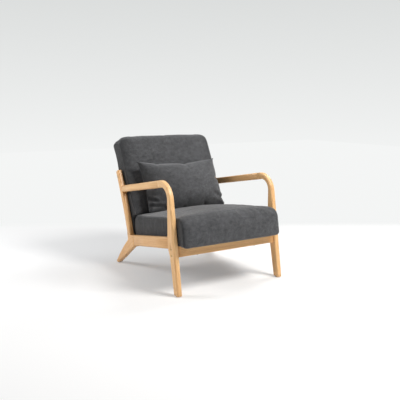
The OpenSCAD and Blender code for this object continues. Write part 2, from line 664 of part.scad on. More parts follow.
// Where a line on the back, q in front of its rear line, crosses the seat line v
function back_meets(q, v) =
    let (d = bp(0, q) - sp(0, v), k = (d * seat_up) / (back_dir * seat_up))
    bp(0, q) - k * back_dir;
notch_v = seat_v1 + seat_wedge * 1.05 + soft_gap;
chin = back_meets(back_t, notch_v);
back_foot = back_meets(0, rail_top_v + soft_gap);

// Rise of the middle of the top face, the share of it at the sides, and the crown of the front face
back_rise = 8;
back_rise_side = 0.6;
function back_push(x, t) = back_crown * bump(2 * x / back_w) * bump(t);

// One loop of the back at x, moved in by e, its top lowered by d
function back_loop(x, e, d) =
    let (half = back_w / 2,
         path = [bp(back_top_p - d, 0), bp(back_top_p - d, back_t), chin,
             sp(seat_u1 + soft_gap, notch_v), back_low, back_foot],
         radii = [20, 34, 10, seat_rear_r, 3, 3], low = (chin - back_rear_at) * back_dir)
    [for (p = rounded(inset(path, e), [for (i = [0:5]) i == 3 ? radii[i] + e : max(1, radii[i] - e)], 4, 4))
        let (up = (p - back_rear_at) * back_dir,
             out = (p - back_rear_at) * back_out / back_t,
             sv = 2 * (up - low) / (back_top_p - low) - 1,
             push = back_push(x, sv) * max(0, out) * (up > low ? 1 : 0),
             rise = back_rise * mix(back_rise_side, 1, bump(x / half)) * bump(out * 2 - 1) * max(0, sv),
             q = p + back_out * push + back_dir * rise)
        [x, q[0], q[1]]];
function top_drop(x) =
    let (over = abs(x) - (back_w / 2 - back_corner_r))
    over <= 0 ? 0 : back_corner_r - sqrt(max(0, back_corner_r * back_corner_r - over * over));
back_stations = let (h = back_w / 2, r = back_corner_r,
        ends = [[h + puff, 9.6], [h + puff * 0.4, 5], [h - 3, 1.5], [h - r * 0.25, 0], [h - r * 0.6, 0],
            [h - r, 0]])
    concat([for (g = ends) [-g[0], g[1]]], [for (t = [-0.6:0.3:0.6]) [h * t, 0]],
        [for (i = [5:-1:0]) ends[i]]);

// Spaces inside the back cover
back_skin = 2.5;
board_in = 10;
back_hollow_x = back_w / 2 - wadding;
back_hollow_p0 = (chin - back_rear_at) * back_dir + wadding;
back_hollow_p1 = back_top_p - wadding - back_corner_r / 2;
board_p0 = (back_foot - back_rear_at) * back_dir + board_in;

// Box on the back lines, from p0 to p1 up the back and q0 to q1 in front of its rear line
module back_box(w, p0, p1, q0, q1) at_frame(back_rear_at, 0, -back_lean)
    translate([-w / 2, -q1, p0]) cube([w, q1 - q0, p1 - p0]);

module back_cover() color(cloth) centred() difference() {
    skin([for (g = back_stations) back_loop(g[0], g[1], top_drop(min(abs(g[0]), back_w / 2)))]);
    back_box(2 * back_hollow_x, back_hollow_p0, back_hollow_p1, back_skin, back_t - wadding);
    back_box(2 * back_hollow_x, board_p0, back_hollow_p0 + 1, back_skin, back_skin + back_board_t);
    back_spacer_places() rotate([0, 90, 0]) cylinder(h = 60, d = spacer_d + 2 * fit, center = true);
    back_screw_places() screw_hole(back_screw_l);
}

// Inserts that take the back's bolts, and the spacers between posts and back
insert_d = 10;
insert_l = 16;
spacer_d = 16;

// Side cheeks of the back frame, and the laths between the windows of its board
cheek_q1 = back_proud + insert_d * 2.6;
cheek_p0 = back_hollow_p0 + fit;
lath_w = 46;
window_in = 60;
windows = 3;
window_h = (back_hollow_p1 - board_p0 - (windows + 1) * lath_w) / windows;
module back_frame() color("wheat") centred() difference() {
    union() {
        back_box(2 * (back_hollow_x - fit), board_p0 + fit, back_hollow_p1 - fit, back_skin + fit,
            back_skin + back_board_t - fit);
        for (s = [-1, 1]) translate([s * (back_hollow_x - fit - timber_t / 2), 0, 0])
            back_box(timber_t, cheek_p0, back_hollow_p1 - fit, back_skin + fit, cheek_q1);
    }
    for (i = [0:windows - 1]) let (p = board_p0 + lath_w + i * (window_h + lath_w))
        back_box(2 * (back_hollow_x - window_in), p, p + window_h, 0, back_board_t + 2 * back_skin);
    back_insert_places() rotate([0, 90, 0])
        cylinder(h = insert_l + 2 * fit, d = insert_d + 2 * fit, center = true);
    back_bolt_places() bolt_hole(back_bolt_len);
    back_screw_places() screw_hole(back_screw_l);
}

board_q1 = back_skin + back_board_t;
module back_webbing() color("saddlebrown") centred() for (t = [0:0.25:1])
    let (p = mix(back_hollow_p0 + web_w, back_hollow_p1 - web_w, t))
    back_box(2 * (back_hollow_x - timber_t - 1), p - web_w / 2, p + web_w / 2, board_q1 - fit,
        board_q1 - fit + web_t);

foam_q0 = board_q1 - fit + web_t;
module back_foam() color("khaki") centred() difference() {
    back_box(2 * (back_hollow_x - soft_gap), back_hollow_p0 + soft_gap, back_hollow_p1 - soft_gap, foam_q0,
        back_t - wadding - soft_gap);
    for (s = [-1, 1]) translate([s * (back_hollow_x - timber_t / 2), 0, 0])
        back_box(timber_t + 2 * soft_gap, cheek_p0 - 1, back_hollow_p1 + 1, 0, cheek_q1 + soft_gap);
}

// Bolts through the posts and spacers into inserts in the back frame
back_bolt_drop = 26;
back_bolt_z = post_top_z - back_bolt_drop;
back_bolt_at = [post_rear(back_bolt_z) - post_d / 2, back_bolt_z];
cheek_x = back_hollow_x - fit;
back_bolt_len = overall_w / 2 - cheek_x + insert_l;
module back_bolt_places() for (s = [-1, 1]) at_frame(back_bolt_at, s * (overall_w / 2 - head_below), 0)
    rotate([0, 0, s > 0 ? 180 : 0]) children();
module back_spacer_places() for (s = [-1, 1])
    at_frame(back_bolt_at, s * (inner_x + cheek_x) / 2, 0) children();
module back_insert_places() for (s = [-1, 1])
    at_frame(back_bolt_at, s * (cheek_x - insert_l / 2), 0) children();
module back_bolts() color(brass) centred() back_bolt_places() bolt(back_bolt_len);
module back_spacers() color("black") centred() back_spacer_places() rotate([0, 90, 0]) difference() {
    cylinder(h = inner_x - cheek_x, d = spacer_d, center = true);
    cylinder(h = 2 * wadding + 20, d = bolt_d + 2 * fit, center = true);
}
module back_inserts() color(brass) centred() back_insert_places() rotate([0, 90, 0]) difference() {
    cylinder(h = insert_l, d = insert_d, center = true);
    cylinder(h = insert_l + 2, d = bolt_d + 2 * fit, center = true);
}

// Screws up through the rear rail into the foot of the back's board
back_screw_in = 76;
back_screw_bite = 30;
back_screw_x = back_w / 2 - back_screw_in;
back_screw_l = rear_rail_t + back_screw_bite;
back_screw_u = (back_foot - rail_o) * seat_dir - back_board_t * 0.6;
module back_screw_places() for (s = [-1, 1]) on_seat()
    translate([s * back_screw_x, back_screw_u, rear_v0 - bolt_head_h]) rotate([0, -90, 0]) children();
module back_screws() color(steel) centred() back_screw_places() bolt(back_screw_l);

// Pillow: a knife-edge form that leans on the back and stands on the seat
pillow_edge = 2.6;
pillow_skin = 4;
// The facets of the seat and back lie this far under the curves that they stand for
facet_sag = 0.8;
pillow_share = pillow_h / (back_top_p - (chin - back_rear_at) * back_dir) - 1;
pillow_q = back_t + back_push(0, pillow_share) + soft_gap - facet_sag + pillow_t / 2;
pillow_u = (back_meets(pillow_q, seat_v1 + seat_wedge) - rail_o) * seat_dir;
pillow_foot = back_meets(pillow_q,
    seat_v1 + seat_lift(0, pillow_u) + soft_gap - facet_sag + pillow_edge / 4);

// Loop of the pillow at share t of its half length, made g smaller all round
pillow_rows = 10;
pillow_columns = 16;
function pillow_loop(t, g) =
    let (high = pillow_h - pillow_pull * bump(t) - g,
         fat = (pillow_t / 2 - g) * pow(1 - pow(abs(t), 2.6), 0.55))
    [for (k = [-1, 1], i = [0:pillow_rows])
        let (h = k * cos(180 * i / pillow_rows),
             thick = max(pillow_edge / 2, fat * pow(max(0, 1 - pow(abs(h), 2.4)), 0.6)),
             q = pillow_foot + back_dir * mix(g, high, (h + 1) / 2) + back_out * k * thick)
        [t * (pillow_w / 2 - g - pillow_pull * bump(h)), q[0], q[1]]];
module pillow_form(g)
    skin([for (i = [0:pillow_columns]) pillow_loop(-cos(180 * i / pillow_columns), g)]);

module pillow_cover() color("gray") centred() difference() {
    pillow_form(0);
    pillow_form(pillow_skin);
    pillow_zip_shape(fit);
}

module pillow_fill() color("whitesmoke") centred() pillow_form(pillow_skin + soft_gap);

// Closed zip in the pillow's lower seam
zip_l = 360;
zip_w = 3;
zip_t = 1.6;
zip_in = 0.4;
module pillow_zip_shape(grow) at_frame(pillow_foot + back_dir * (zip_w / 2 + zip_in), 0, -back_lean)
    cube([zip_l + 2 * grow, zip_t + 2 * grow, zip_w + 2 * grow], center = true);
module pillow_zip() color([0.2, 0.2, 0.22]) centred() pillow_zip_shape(0);

// Furthest front and rear of the whole chair
chair_front = min([for (q = seat_loop(0, 0)) q[1]]);
chair_rear = max([for (q = back_loop(0, 0, 0)) q[1]]);

front_leg(-1);  // front_leg_left
front_leg(1);  // front_leg_right
arm(-1);  // arm_left
arm(1);  // arm_right
rear_post(-1);  // rear_post_left
rear_post(1);  // rear_post_right
side_rail(-1);  // side_rail_left
side_rail(1);  // side_rail_right
rear_leg(-1);  // rear_leg_left
rear_leg(1);  // rear_leg_right
front_rail();
rear_rail();
frame_dowels();
rail_bolts();
barrel_nuts();
foot_glides();
corner_brackets();
bracket_screws();
seat_frame();
seat_webbing();
seat_foam();
seat_cover();
seat_dust_cover();
seat_bolts_front();
seat_bolts_rear();
seat_nuts();
back_frame();
back_webbing();
back_foam();
back_cover();
back_bolts();
back_spacers();
back_inserts();
back_screws();
pillow_cover();
pillow_fill();
pillow_zip();
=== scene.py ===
# Accent chair: timber side frames, a boxed seat and back, and a loose lumbar pillow
import json
import math

import bmesh
import bpy
import numpy as np
from mathutils import Matrix, Vector, noise
from mathutils.bvhtree import BVHTree
from mathutils.geometry import delaunay_2d_cdt
from mathutils.kdtree import KDTree


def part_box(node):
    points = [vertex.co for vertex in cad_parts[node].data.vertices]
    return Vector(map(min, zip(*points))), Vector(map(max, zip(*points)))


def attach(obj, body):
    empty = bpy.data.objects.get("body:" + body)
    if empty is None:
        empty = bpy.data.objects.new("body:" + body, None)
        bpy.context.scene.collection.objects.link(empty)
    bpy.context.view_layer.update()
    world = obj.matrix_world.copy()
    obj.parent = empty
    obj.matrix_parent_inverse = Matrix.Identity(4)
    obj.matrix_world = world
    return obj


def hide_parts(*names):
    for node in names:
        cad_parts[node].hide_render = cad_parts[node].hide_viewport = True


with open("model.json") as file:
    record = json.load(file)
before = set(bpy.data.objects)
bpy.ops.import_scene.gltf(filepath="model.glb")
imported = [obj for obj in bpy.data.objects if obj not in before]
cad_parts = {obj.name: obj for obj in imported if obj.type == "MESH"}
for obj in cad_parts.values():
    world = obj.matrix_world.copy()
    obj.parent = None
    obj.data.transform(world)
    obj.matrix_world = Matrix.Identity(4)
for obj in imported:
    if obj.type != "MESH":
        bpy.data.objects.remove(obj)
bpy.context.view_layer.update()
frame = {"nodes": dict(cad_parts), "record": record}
print("frame loaded", len(frame["nodes"]), "nodes")

scene = bpy.context.scene
scene.view_settings.view_transform = "Standard"

# Side frames, in metres and degrees, as they are made
sideFrame = {
    "length": 0.779, "tilt": 10, "railTop": 0.288, "railDepth": 0.060, "railLength": 0.462,
    "armGap": 0.250, "armDepth": 0.038, "legLean": 9, "foot": 0.043, "shin": 0.051, "knee": 0.062,
    "flare": 0.076, "elbowOut": 0.105, "elbowIn": 0.056, "post": 0.039, "postLean": 23,
    "postBow": 0.009, "postTop": 0.554, "topRound": (0.0045, 0.005), "kinkDrop": 0.028, "kinkRound": 0.040,
    "heel": 0.036, "heelBow": 0.006, "head": 0.045, "glide": 0.004, "edge": 0.008, "jointEdge": 0.002,
    "endBevel": 0.0012, "jointBevel": 0.0004, "topBevel": 0.0002,
}
innerX, outerX = (corner.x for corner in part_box("front_leg_right"))
timberT = outerX - innerX
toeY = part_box("rear_leg_left")[1].y - sideFrame["length"]
armLow, armHigh = sideFrame["armGap"], sideFrame["armGap"] + sideFrame["armDepth"]


def tanDeg(a):
    return math.tan(math.radians(a))


def unit(a):
    return a / np.linalg.norm(a)


def perp(p):
    return np.array([-p[1], p[0]])


def mix(a, b, t):
    return a + (b - a) * t


def smooth(t):
    t = min(1.0, max(0.0, t))
    return t * t * (3 - 2 * t)


def bump(t):
    return max(0.0, 1 - t * t)


# Points in the plane of a side frame are [y, z]; seat lines slope down to the back
tilt = math.radians(sideFrame["tilt"])
seatDir = np.array([math.cos(tilt), -math.sin(tilt)])
seatUp = np.array([math.sin(tilt), math.cos(tilt)])
railStart = np.array([toeY + sideFrame["railTop"] * tanDeg(sideFrame["legLean"]) + sideFrame["knee"],
                      sideFrame["railTop"]])


def seatPoint(u, v):
    return railStart + u * seatDir + v * seatUp


def measured(co, start, along, out):
    # How far points lie from a start in two directions of the side frames' plane
    yz = co[:, 1:] - start
    return yz @ along, yz @ out


def fillet(a, c, b, radius, steps):
    # The arc that rounds the corner c between a and b
    da, db = unit(a - c), unit(b - c)
    half = math.acos(max(-1, min(1, float(da @ db)))) / 2
    cut = min(radius / math.tan(half), 0.48 * min(np.linalg.norm(a - c), np.linalg.norm(b - c)))
    mid = c + unit(da + db) * cut * math.tan(half) / math.sin(half)
    (y, z), end = c + da * cut - mid, c + db * cut - mid
    side = 1 if y * end[1] - z * end[0] > 0 else -1
    turns = [side * (math.pi - 2 * half) * i / steps for i in range(steps + 1)]
    return [mid + np.array([y * math.cos(t) - z * math.sin(t), y * math.sin(t) + z * math.cos(t)])
            for t in turns]


# Meshes

def newPiece(name, verts, faces):
    mesh = bpy.data.meshes.new(name)
    mesh.from_pydata([tuple(map(float, v)) for v in verts], [], faces)
    mesh.update()
    mesh.polygons.foreach_set("use_smooth", [len(f) <= 4 for f in faces])
    piece = bpy.data.objects.new(name, mesh)
    scene.collection.objects.link(piece)
    return piece


def applyModifiers(piece):
    graph = bpy.context.evaluated_depsgraph_get()
    made = bpy.data.meshes.new_from_object(piece.evaluated_get(graph), preserve_all_data_layers=True,
                                           depsgraph=graph)
    old = piece.data
    piece.modifiers.clear()
    piece.data = made
    bpy.data.meshes.remove(old)


def fixNormals(piece):
    mesh = bmesh.new()
    mesh.from_mesh(piece.data)
    bmesh.ops.recalc_face_normals(mesh, faces=mesh.faces)
    mesh.to_mesh(piece.data)
    mesh.free()


def smoothAll(piece):
    piece.data.polygons.foreach_set("use_smooth", [True] * len(piece.data.polygons))


def tubeFaces(rows, n):
    return [(i * n + j, (i + 1) * n + j, (i + 1) * n + (j + 1) % n, i * n + (j + 1) % n)
            for i in range(rows - 1) for j in range(n)]


def skinLoops(loops):
    n, last = len(loops[0]), (len(loops) - 1) * len(loops[0])
    ends = [tuple(range(n)), tuple(reversed(range(last, last + n)))]
    return [p for loop in loops for p in loop], tubeFaces(len(loops), n) + ends


def loopPiece(name, loops):
    piece = newPiece(name, *skinLoops(loops))
    fixNormals(piece)
    return piece


def coords(mesh):
    co = np.empty(len(mesh.vertices) * 3)
    mesh.vertices.foreach_get("co", co)
    return co.reshape(-1, 3)


def worldCoords(node):
    return np.array([node.matrix_world @ Vector(c) for c in coords(node.data)])


def setCoords(mesh, co):
    mesh.vertices.foreach_set("co", np.ascontiguousarray(co).ravel())
    mesh.update()


def vertexNormals(mesh):
    out = np.empty(len(mesh.vertices) * 3)
    mesh.vertex_normals.foreach_get("vector", out)
    return out.reshape(-1, 3)


def store(piece, name, values):
    # Keeps a number or a vector at each point, for the materials to read
    kind, field = ("FLOAT_VECTOR", "vector") if values.ndim > 1 else ("FLOAT", "value")
    piece.data.attributes.new(name, kind, "POINT").data.foreach_set(field, values.ravel())


def treeOf(points):
    tree = KDTree(len(points))
    for i, p in enumerate(points):
        tree.insert(p, i)
    tree.balance()
    return tree


# Materials

class Nodes:
    def __init__(self, name, among=bpy.data.materials):
        self.owner = among.new(name)
        self.owner.use_nodes = True
        self.tree = self.owner.node_tree

    def feed(self, socket, value):
        if isinstance(value, bpy.types.NodeSocket):
            self.tree.links.new(value, socket)
        else:
            socket.default_value = (*value, 1) if socket.type == "RGBA" else value

    def add(self, kind, inputs=None, **settings):
        node = self.tree.nodes.new("ShaderNode" + kind)
        for key, value in settings.items():
            setattr(node, key, value)
        for key, value in (inputs or {}).items():
            self.feed(node.inputs[key], value)
        return node

    def math(self, operation, *values):
        return self.add("Math", dict(enumerate(values)), operation=operation).outputs[0]

    def plus(self, *values):
        total = values[0]
        for value in values[1:]:
            total = self.math("ADD", total, value)
        return total

    def times(self, a, b):
        return self.math("MULTIPLY", a, b)

    def waves(self, value, pitch):
        return self.math("SINE", self.times(value, 2 * math.pi / pitch))

    def stored(self, name, output):
        return self.add("Attribute", attribute_name=name).outputs[output]

    def place(self):
        return self.add("TexCoord").outputs["Object"]

    def split(self, vector):
        return self.add("SeparateXYZ", {"Vector": vector}).outputs

    def mapped(self, vector, **inputs):
        return self.add("Mapping", {"Vector": vector, **inputs}).outputs[0]

    def noise(self, vector, scale, detail=3, roughness=0.5):
        return self.add("TexNoise", {"Vector": self.mapped(vector, Scale=scale), "Scale": 1.0,
                                     "Detail": detail, "Roughness": roughness}).outputs["Fac"]

    def wandering(self, vector, noise, by):
        three = self.add("CombineXYZ", {0: noise, 1: noise, 2: noise}).outputs[0]
        return self.add("VectorMath", {0: three, 1: by, 2: vector}, operation="MULTIPLY_ADD").outputs[0]

    def ramp(self, factor, *stops):
        node = self.add("ValToRGB", {"Fac": factor})
        while len(node.color_ramp.elements) < len(stops):
            node.color_ramp.elements.new(0.5)
        for element, (place, colour) in zip(node.color_ramp.elements, stops):
            element.position, element.color = place, (*colour, 1)
        return node.outputs["Color"]

    def blend(self, factor, a, b, mode="MIX"):
        return self.add("Mix", {0: factor, 6: a, 7: b}, data_type="RGBA", blend_type=mode).outputs[2]

    def range(self, value, low, high, newLow=0, newHigh=1):
        return self.add("MapRange", {"Value": value, "From Min": low, "From Max": high, "To Min": newLow,
                                     "To Max": newHigh}).outputs[0]

    def finish(self, colour, roughness, height, depth, strength, fixed):
        bumps = self.add("Bump", {"Height": height, "Distance": depth, "Strength": strength}).outputs[0]
        shader = self.tree.nodes["Principled BSDF"]
        for key, value in {"Base Color": colour, "Roughness": roughness, "Normal": bumps, **fixed}.items():
            self.feed(shader.inputs[key], value)
        return self.owner


# Lacquered rubberwood, its grain running along the stored grain coordinate
woodLook = {
    "light": (0.930, 0.590, 0.280), "middle": (0.800, 0.470, 0.205), "dark": (0.560, 0.275, 0.100),
    "pore": (0.400, 0.200, 0.080), "shade": (0.78, 0.62, 0.48), "roughness": (0.36, 0.50),
    "coat": {"Coat Weight": 0.12, "Coat Roughness": 0.28, "Specular IOR Level": 0.42},
    "ringPitch": 0.0055, "pith": (0.050, 0.034), "wander": (0, 0.022, 0.014), "bands": (1.2, 30, 30),
    "streaks": (9, 420, 420), "broad": (3.5, 125, 125), "pores": (120, 2300, 2300),
    "stops": (0.30, 0.50, 0.68), "grainDepth": 0.00025,
}


def woodMaterial():
    look = woodLook
    n = Nodes("Lacquered rubberwood")
    grain = n.stored("grain", "Vector")
    split = n.split(n.wandering(grain, n.noise(grain, (1.6, 9, 9), 2), look["wander"]))
    across, deep = n.plus(split["Y"], look["pith"][0]), n.plus(split["Z"], look["pith"][1])
    fromPith = n.math("SQRT", n.plus(n.times(across, across), n.times(deep, deep)))
    ringLine = n.math("POWER", n.range(n.waves(fromPith, look["ringPitch"]), -1, 1), 3.0)
    bands = n.noise(grain, look["bands"], 3, 0.55)
    streaks = n.noise(grain, look["streaks"], 4, 0.6)
    poreMask = n.range(n.noise(grain, look["pores"], 1, 0.4), 0.64, 0.72)
    between = tuple(mix(a, b, 0.6) for a, b in zip(look["middle"], look["light"]))
    colour = n.ramp(bands, *zip(look["stops"], (look["middle"], between, look["light"])))
    for share in (n.times(ringLine, n.range(bands, 0.35, 0.75, 0.50, 0.16)),
                  n.range(streaks, 0.42, 0.72, 0.0, 0.42),
                  n.range(n.noise(grain, look["broad"], 3, 0.6), 0.50, 0.70, 0.0, 0.45)):
        colour = n.blend(share, colour, look["dark"])
    colour = n.blend(n.times(poreMask, 0.42), colour, look["pore"])
    colour = n.blend(n.range(n.stored("tone", "Fac"), -1, 1, 0.0, 0.30), colour, look["shade"], "MULTIPLY")
    height = n.math("SUBTRACT", n.times(streaks, 0.4), n.times(poreMask, 0.7))
    rough = n.range(streaks, 0.3, 0.7, *look["roughness"])
    return n.finish(colour, rough, height, look["grainDepth"], 0.5, look["coat"])


# Charcoal cloth in a plain weave, its threads square to a cushion that leans by a given angle
clothLook = {
    "dark": (0.034, 0.035, 0.037), "middle": (0.063, 0.064, 0.068), "light": (0.118, 0.121, 0.127),
    # Painted shade: the level below darkens the cloth wherever painted shade is stored
    "threadPitch": 0.0013, "wobble": 0.0009, "weaveHeight": 0.00022, "paintedShadeLevel": 0.35,
    "sheen": {"Sheen Weight": 0.30, "Sheen Roughness": 0.45, "Specular IOR Level": 0.18},
    "warp": (70, 1500, 1500), "weft": (1500, 110, 110), "mottle": (46, 60, 60), "cloud": (7, 8, 8),
    "stops": (0.43, 0.59, 0.81), "roughness": 0.92,
}


def clothMaterial(name, lean, lift=1.0):
    look = clothLook
    n = Nodes(name)
    turn = (math.radians(lean), 0, 0)
    place = n.mapped(n.place(), Rotation=turn)
    facing = n.split(n.mapped(n.add("NewGeometry").outputs["Normal"], Rotation=turn))
    split = n.split(n.wandering(place, n.noise(place, (90, 90, 90), 2), (look["wobble"],) * 3))
    wave = {axis: n.waves(split[axis], look["threadPitch"]) for axis in "XYZ"}
    parts = []
    for axis, (a, b) in {"X": "YZ", "Y": "XZ", "Z": "XY"}.items():
        square = n.times(facing[axis], facing[axis])
        parts.append(n.times(n.times(wave[a], wave[b]), n.times(square, square)))
    weave = n.plus(*parts)
    threads = n.plus(n.noise(place, look["warp"], 2, 0.6), n.noise(place, look["weft"], 2, 0.6))
    mottle = n.times(n.noise(place, look["mottle"], 4, 0.62), 0.42)
    cloud = n.times(n.noise(place, look["cloud"], 2, 0.5), 0.16)
    tone = n.plus(n.plus(n.times(threads, 0.32), n.times(weave, 0.10)), n.plus(mottle, cloud))
    shades = [tuple(c * lift for c in look[shade]) for shade in ("dark", "middle", "light")]
    colour = n.ramp(tone, *zip(look["stops"], shades))
    # Painted shade: darkens the colour by the stored painted shade of the side panels and of the pillow's
    # left and lower parts
    colour = n.blend(n.stored("painted_shade", "Fac"), colour, (look["paintedShadeLevel"],) * 3, "MULTIPLY")
    height = n.plus(n.times(weave, 0.55), n.times(threads, 0.8))
    return n.finish(colour, look["roughness"], height, look["weaveHeight"], 0.8, look["sheen"])


# Plain procedural finishes for the hardware and the inside

def metalMaterial(name, light, dark, rough):
    n = Nodes(name)
    place = n.place()
    lines, spots = n.noise(place, (400, 400, 40)), n.noise(place, (220, 220, 220), 3, 0.6)
    roughness = n.range(lines, 0.3, 0.7, rough - 0.07, rough + 0.09)
    return n.finish(n.blend(n.range(spots, 0.35, 0.7), light, dark), roughness, lines, 0.00006, 0.4,
                    {"Metallic": 1.0})


def plainMaterial(name, light, dark, scale, rough, height):
    n = Nodes(name)
    spots = n.noise(n.place(), scale, 4, 0.6)
    return n.finish(n.blend(n.range(spots, 0.3, 0.7), light, dark),
                    n.range(spots, 0.3, 0.7, rough - 0.05, rough + 0.05), spots, height, 0.6, {})


def webMaterial(name, light, dark):
    n = Nodes(name)
    place = n.place()
    tone = n.plus(n.times(n.waves(n.split(place)["X"], 0.004), 0.3), n.noise(place, (500, 500, 500), 2))
    return n.finish(n.blend(n.range(tone, 0.2, 0.8), light, dark), 0.85, tone, 0.0004, 0.6, {})


finishes = {
    "frame_wood": woodMaterial(),
    "inner_wood": plainMaterial("Plain softwood", (0.66, 0.50, 0.32), (0.52, 0.36, 0.20), (4, 120, 160),
                                0.7, 0.0004),
    "upholstery": clothMaterial("Charcoal seat cloth", sideFrame["tilt"]),
    "pillow_fabric": clothMaterial("Charcoal pillow cloth", 27.5, 1.11),
    "brass_bolt": metalMaterial("Satin brass", (0.62, 0.43, 0.19), (0.50, 0.33, 0.13), 0.34),
    "plated_steel": metalMaterial("Zinc plated steel", (0.62, 0.62, 0.63), (0.48, 0.49, 0.51), 0.36),
    "glide": plainMaterial("Moulded black glide", (0.030, 0.028, 0.026), (0.018, 0.017, 0.016),
                           (900, 900, 900), 0.5, 0.0001),
    "webbing": webMaterial("Elastic webbing", (0.30, 0.17, 0.09), (0.16, 0.09, 0.05)),
    "foam": plainMaterial("Cut foam", (0.80, 0.74, 0.52), (0.66, 0.60, 0.40), (700, 700, 700), 0.95, 0.0006),
    "wadding": plainMaterial("Loose fibre", (0.86, 0.86, 0.85), (0.74, 0.74, 0.73), (260, 260, 260),
                             0.98, 0.0009),
    "dust_cloth": plainMaterial("Black dust cloth", (0.028, 0.028, 0.030), (0.014, 0.014, 0.015),
                                (1400, 280, 1400), 0.9, 0.0002),
    "zip": plainMaterial("Nylon zip", (0.040, 0.040, 0.042), (0.022, 0.022, 0.024), (5400, 1800, 1800),
                         0.6, 0.0001),
}
# Painted shade: the back cushion has the seat's cloth, turned to its lean and made darker by a lift of 0.95
shadedBackCloth = clothMaterial("Charcoal back cloth", 27.5, 0.95)
print("materials made")

for row in frame["record"]["subparts"]:
    node = frame["nodes"][row["node"]]
    node.data.materials.clear()
    node.data.materials.append(finishes[row["material_slot"]])

# Side frame timbers, each a run of rungs: outer point, inner point, thickness, outer and inner edge radius
timberLook = {
    "front_leg": {"shade": -1.0, "seed": 1, "bolts": "rail_bolts"}, "arm": {"shade": -1.0, "seed": 1},
    "rear_post": {"shade": 1.0, "seed": 3, "bolts": "back_bolts"}, "side_rail": {"shade": 0.2, "seed": 4},
    "rear_leg": {"shade": 0.6, "seed": 5}, "sideSeed": {"left": 60, "right": 40},
    "boltHole": {"radius": 0.00615, "depth": 0.0042, "start": 0.002, "steps": 40}, "cornerSteps": 6,
}


def barOutline(*corners):
    # Four rounded corners, each a middle and a radius, with three points along every straight between them
    steps = timberLook["cornerSteps"]
    arcs = [[(a + r * math.cos(w), b + r * math.sin(w))
             for w in (math.radians(90 * k + 90 * i / steps) for i in range(steps + 1))]
            for k, (a, b, r) in enumerate(corners)]
    full = []
    for arc, after in zip(arcs, arcs[1:] + arcs[:1]):
        (a, b), (c, d) = arc[-1], after[0]
        full += arc + [(mix(a, c, t), mix(b, d, t)) for t in (0.07, 0.5, 0.93)]
    return full


def section(outer, inner, thick, ra, rb, middleX):
    d, half = float(np.linalg.norm(inner - outer)), thick / 2
    e, near = (inner - outer) / d, d - rb
    flat = barOutline((near, half - rb, rb), (ra, half - ra, ra), (ra, ra - half, ra), (near, rb - half, rb))
    return [(middleX + x, *(outer + e * s)) for s, x in flat]


def shrunk(rung, by):
    outer, inner, thick, ra, rb = rung
    e = unit(inner - outer)
    return outer + e * by, inner - e * by, thick - 2 * by, max(ra - by, 0.0004), max(rb - by, 0.0004)


def moved(rung, by):
    return rung[0] + by, rung[1] + by, *rung[2:]


def middleOf(rung):
    return (rung[0] + rung[1]) / 2


def withEnds(rungs, startBevel, endBevel):
    first = unit(middleOf(rungs[1]) - middleOf(rungs[0]))
    last = unit(middleOf(rungs[-1]) - middleOf(rungs[-2]))
    return [shrunk(rungs[0], startBevel), moved(rungs[0], first * startBevel), *rungs[1:-1],
            moved(rungs[-1], last * -endBevel), shrunk(rungs[-1], endBevel)]


def setGrain(piece, seed, shade, path=None):
    # The grain runs along a path in the plane of the side frames, or else straight across the chair
    co, rng = coords(piece.data), np.random.default_rng(seed)
    if path is None:
        s, offset, deep = co[:, 0], co[:, 1] - co[:, 1].mean(), co[:, 2] - co[:, 2].mean()
    else:
        best, s, offset, run = np.full(len(co), 1e9), np.zeros(len(co)), np.zeros(len(co)), 0.0
        for a, b in zip(path[:-1], path[1:]):
            length = np.linalg.norm(b - a)
            if length < 1e-6:
                continue
            d = (b - a) / length
            t = np.clip((co[:, 1:] - a) @ d, 0 if run > 0 else -1, length)
            gap = co[:, 1:] - (a + t[:, None] * d)
            dist = np.linalg.norm(gap, axis=1)
            near = dist < best
            for values, found in ((best, dist), (s, run + t), (offset, -gap @ perp(d))):
                values[near] = found[near]
            run += length
        deep = co[:, 0] - co[:, 0].mean()
    store(piece, "grain", np.stack([s + rng.uniform(0, 40), offset + rng.uniform(-0.02, 0.03),
                                    deep + rng.uniform(-0.01, 0.02)], 1))
    store(piece, "tone", np.full(len(co), float(shade)))


def drill(piece, side, x, y, z):
    # A hole from the outer face inwards
    hole = timberLook["boltHole"]
    turns, radius = np.linspace(0, 2 * math.pi, hole["steps"], False), hole["radius"]
    cutter = loopPiece("cutter", [[(at, y + radius * math.cos(a), z + radius * math.sin(a)) for a in turns]
                                  for at in (x + side * hole["start"], x - side * hole["depth"])])
    cut = piece.modifiers.new("cut", "BOOLEAN")
    cut.operation, cut.solver, cut.object = "DIFFERENCE", "EXACT", cutter
    applyModifiers(piece)
    bpy.data.objects.remove(cutter)


def legFront(z):
    return np.array([toeY + z * tanDeg(sideFrame["legLean"]), z])


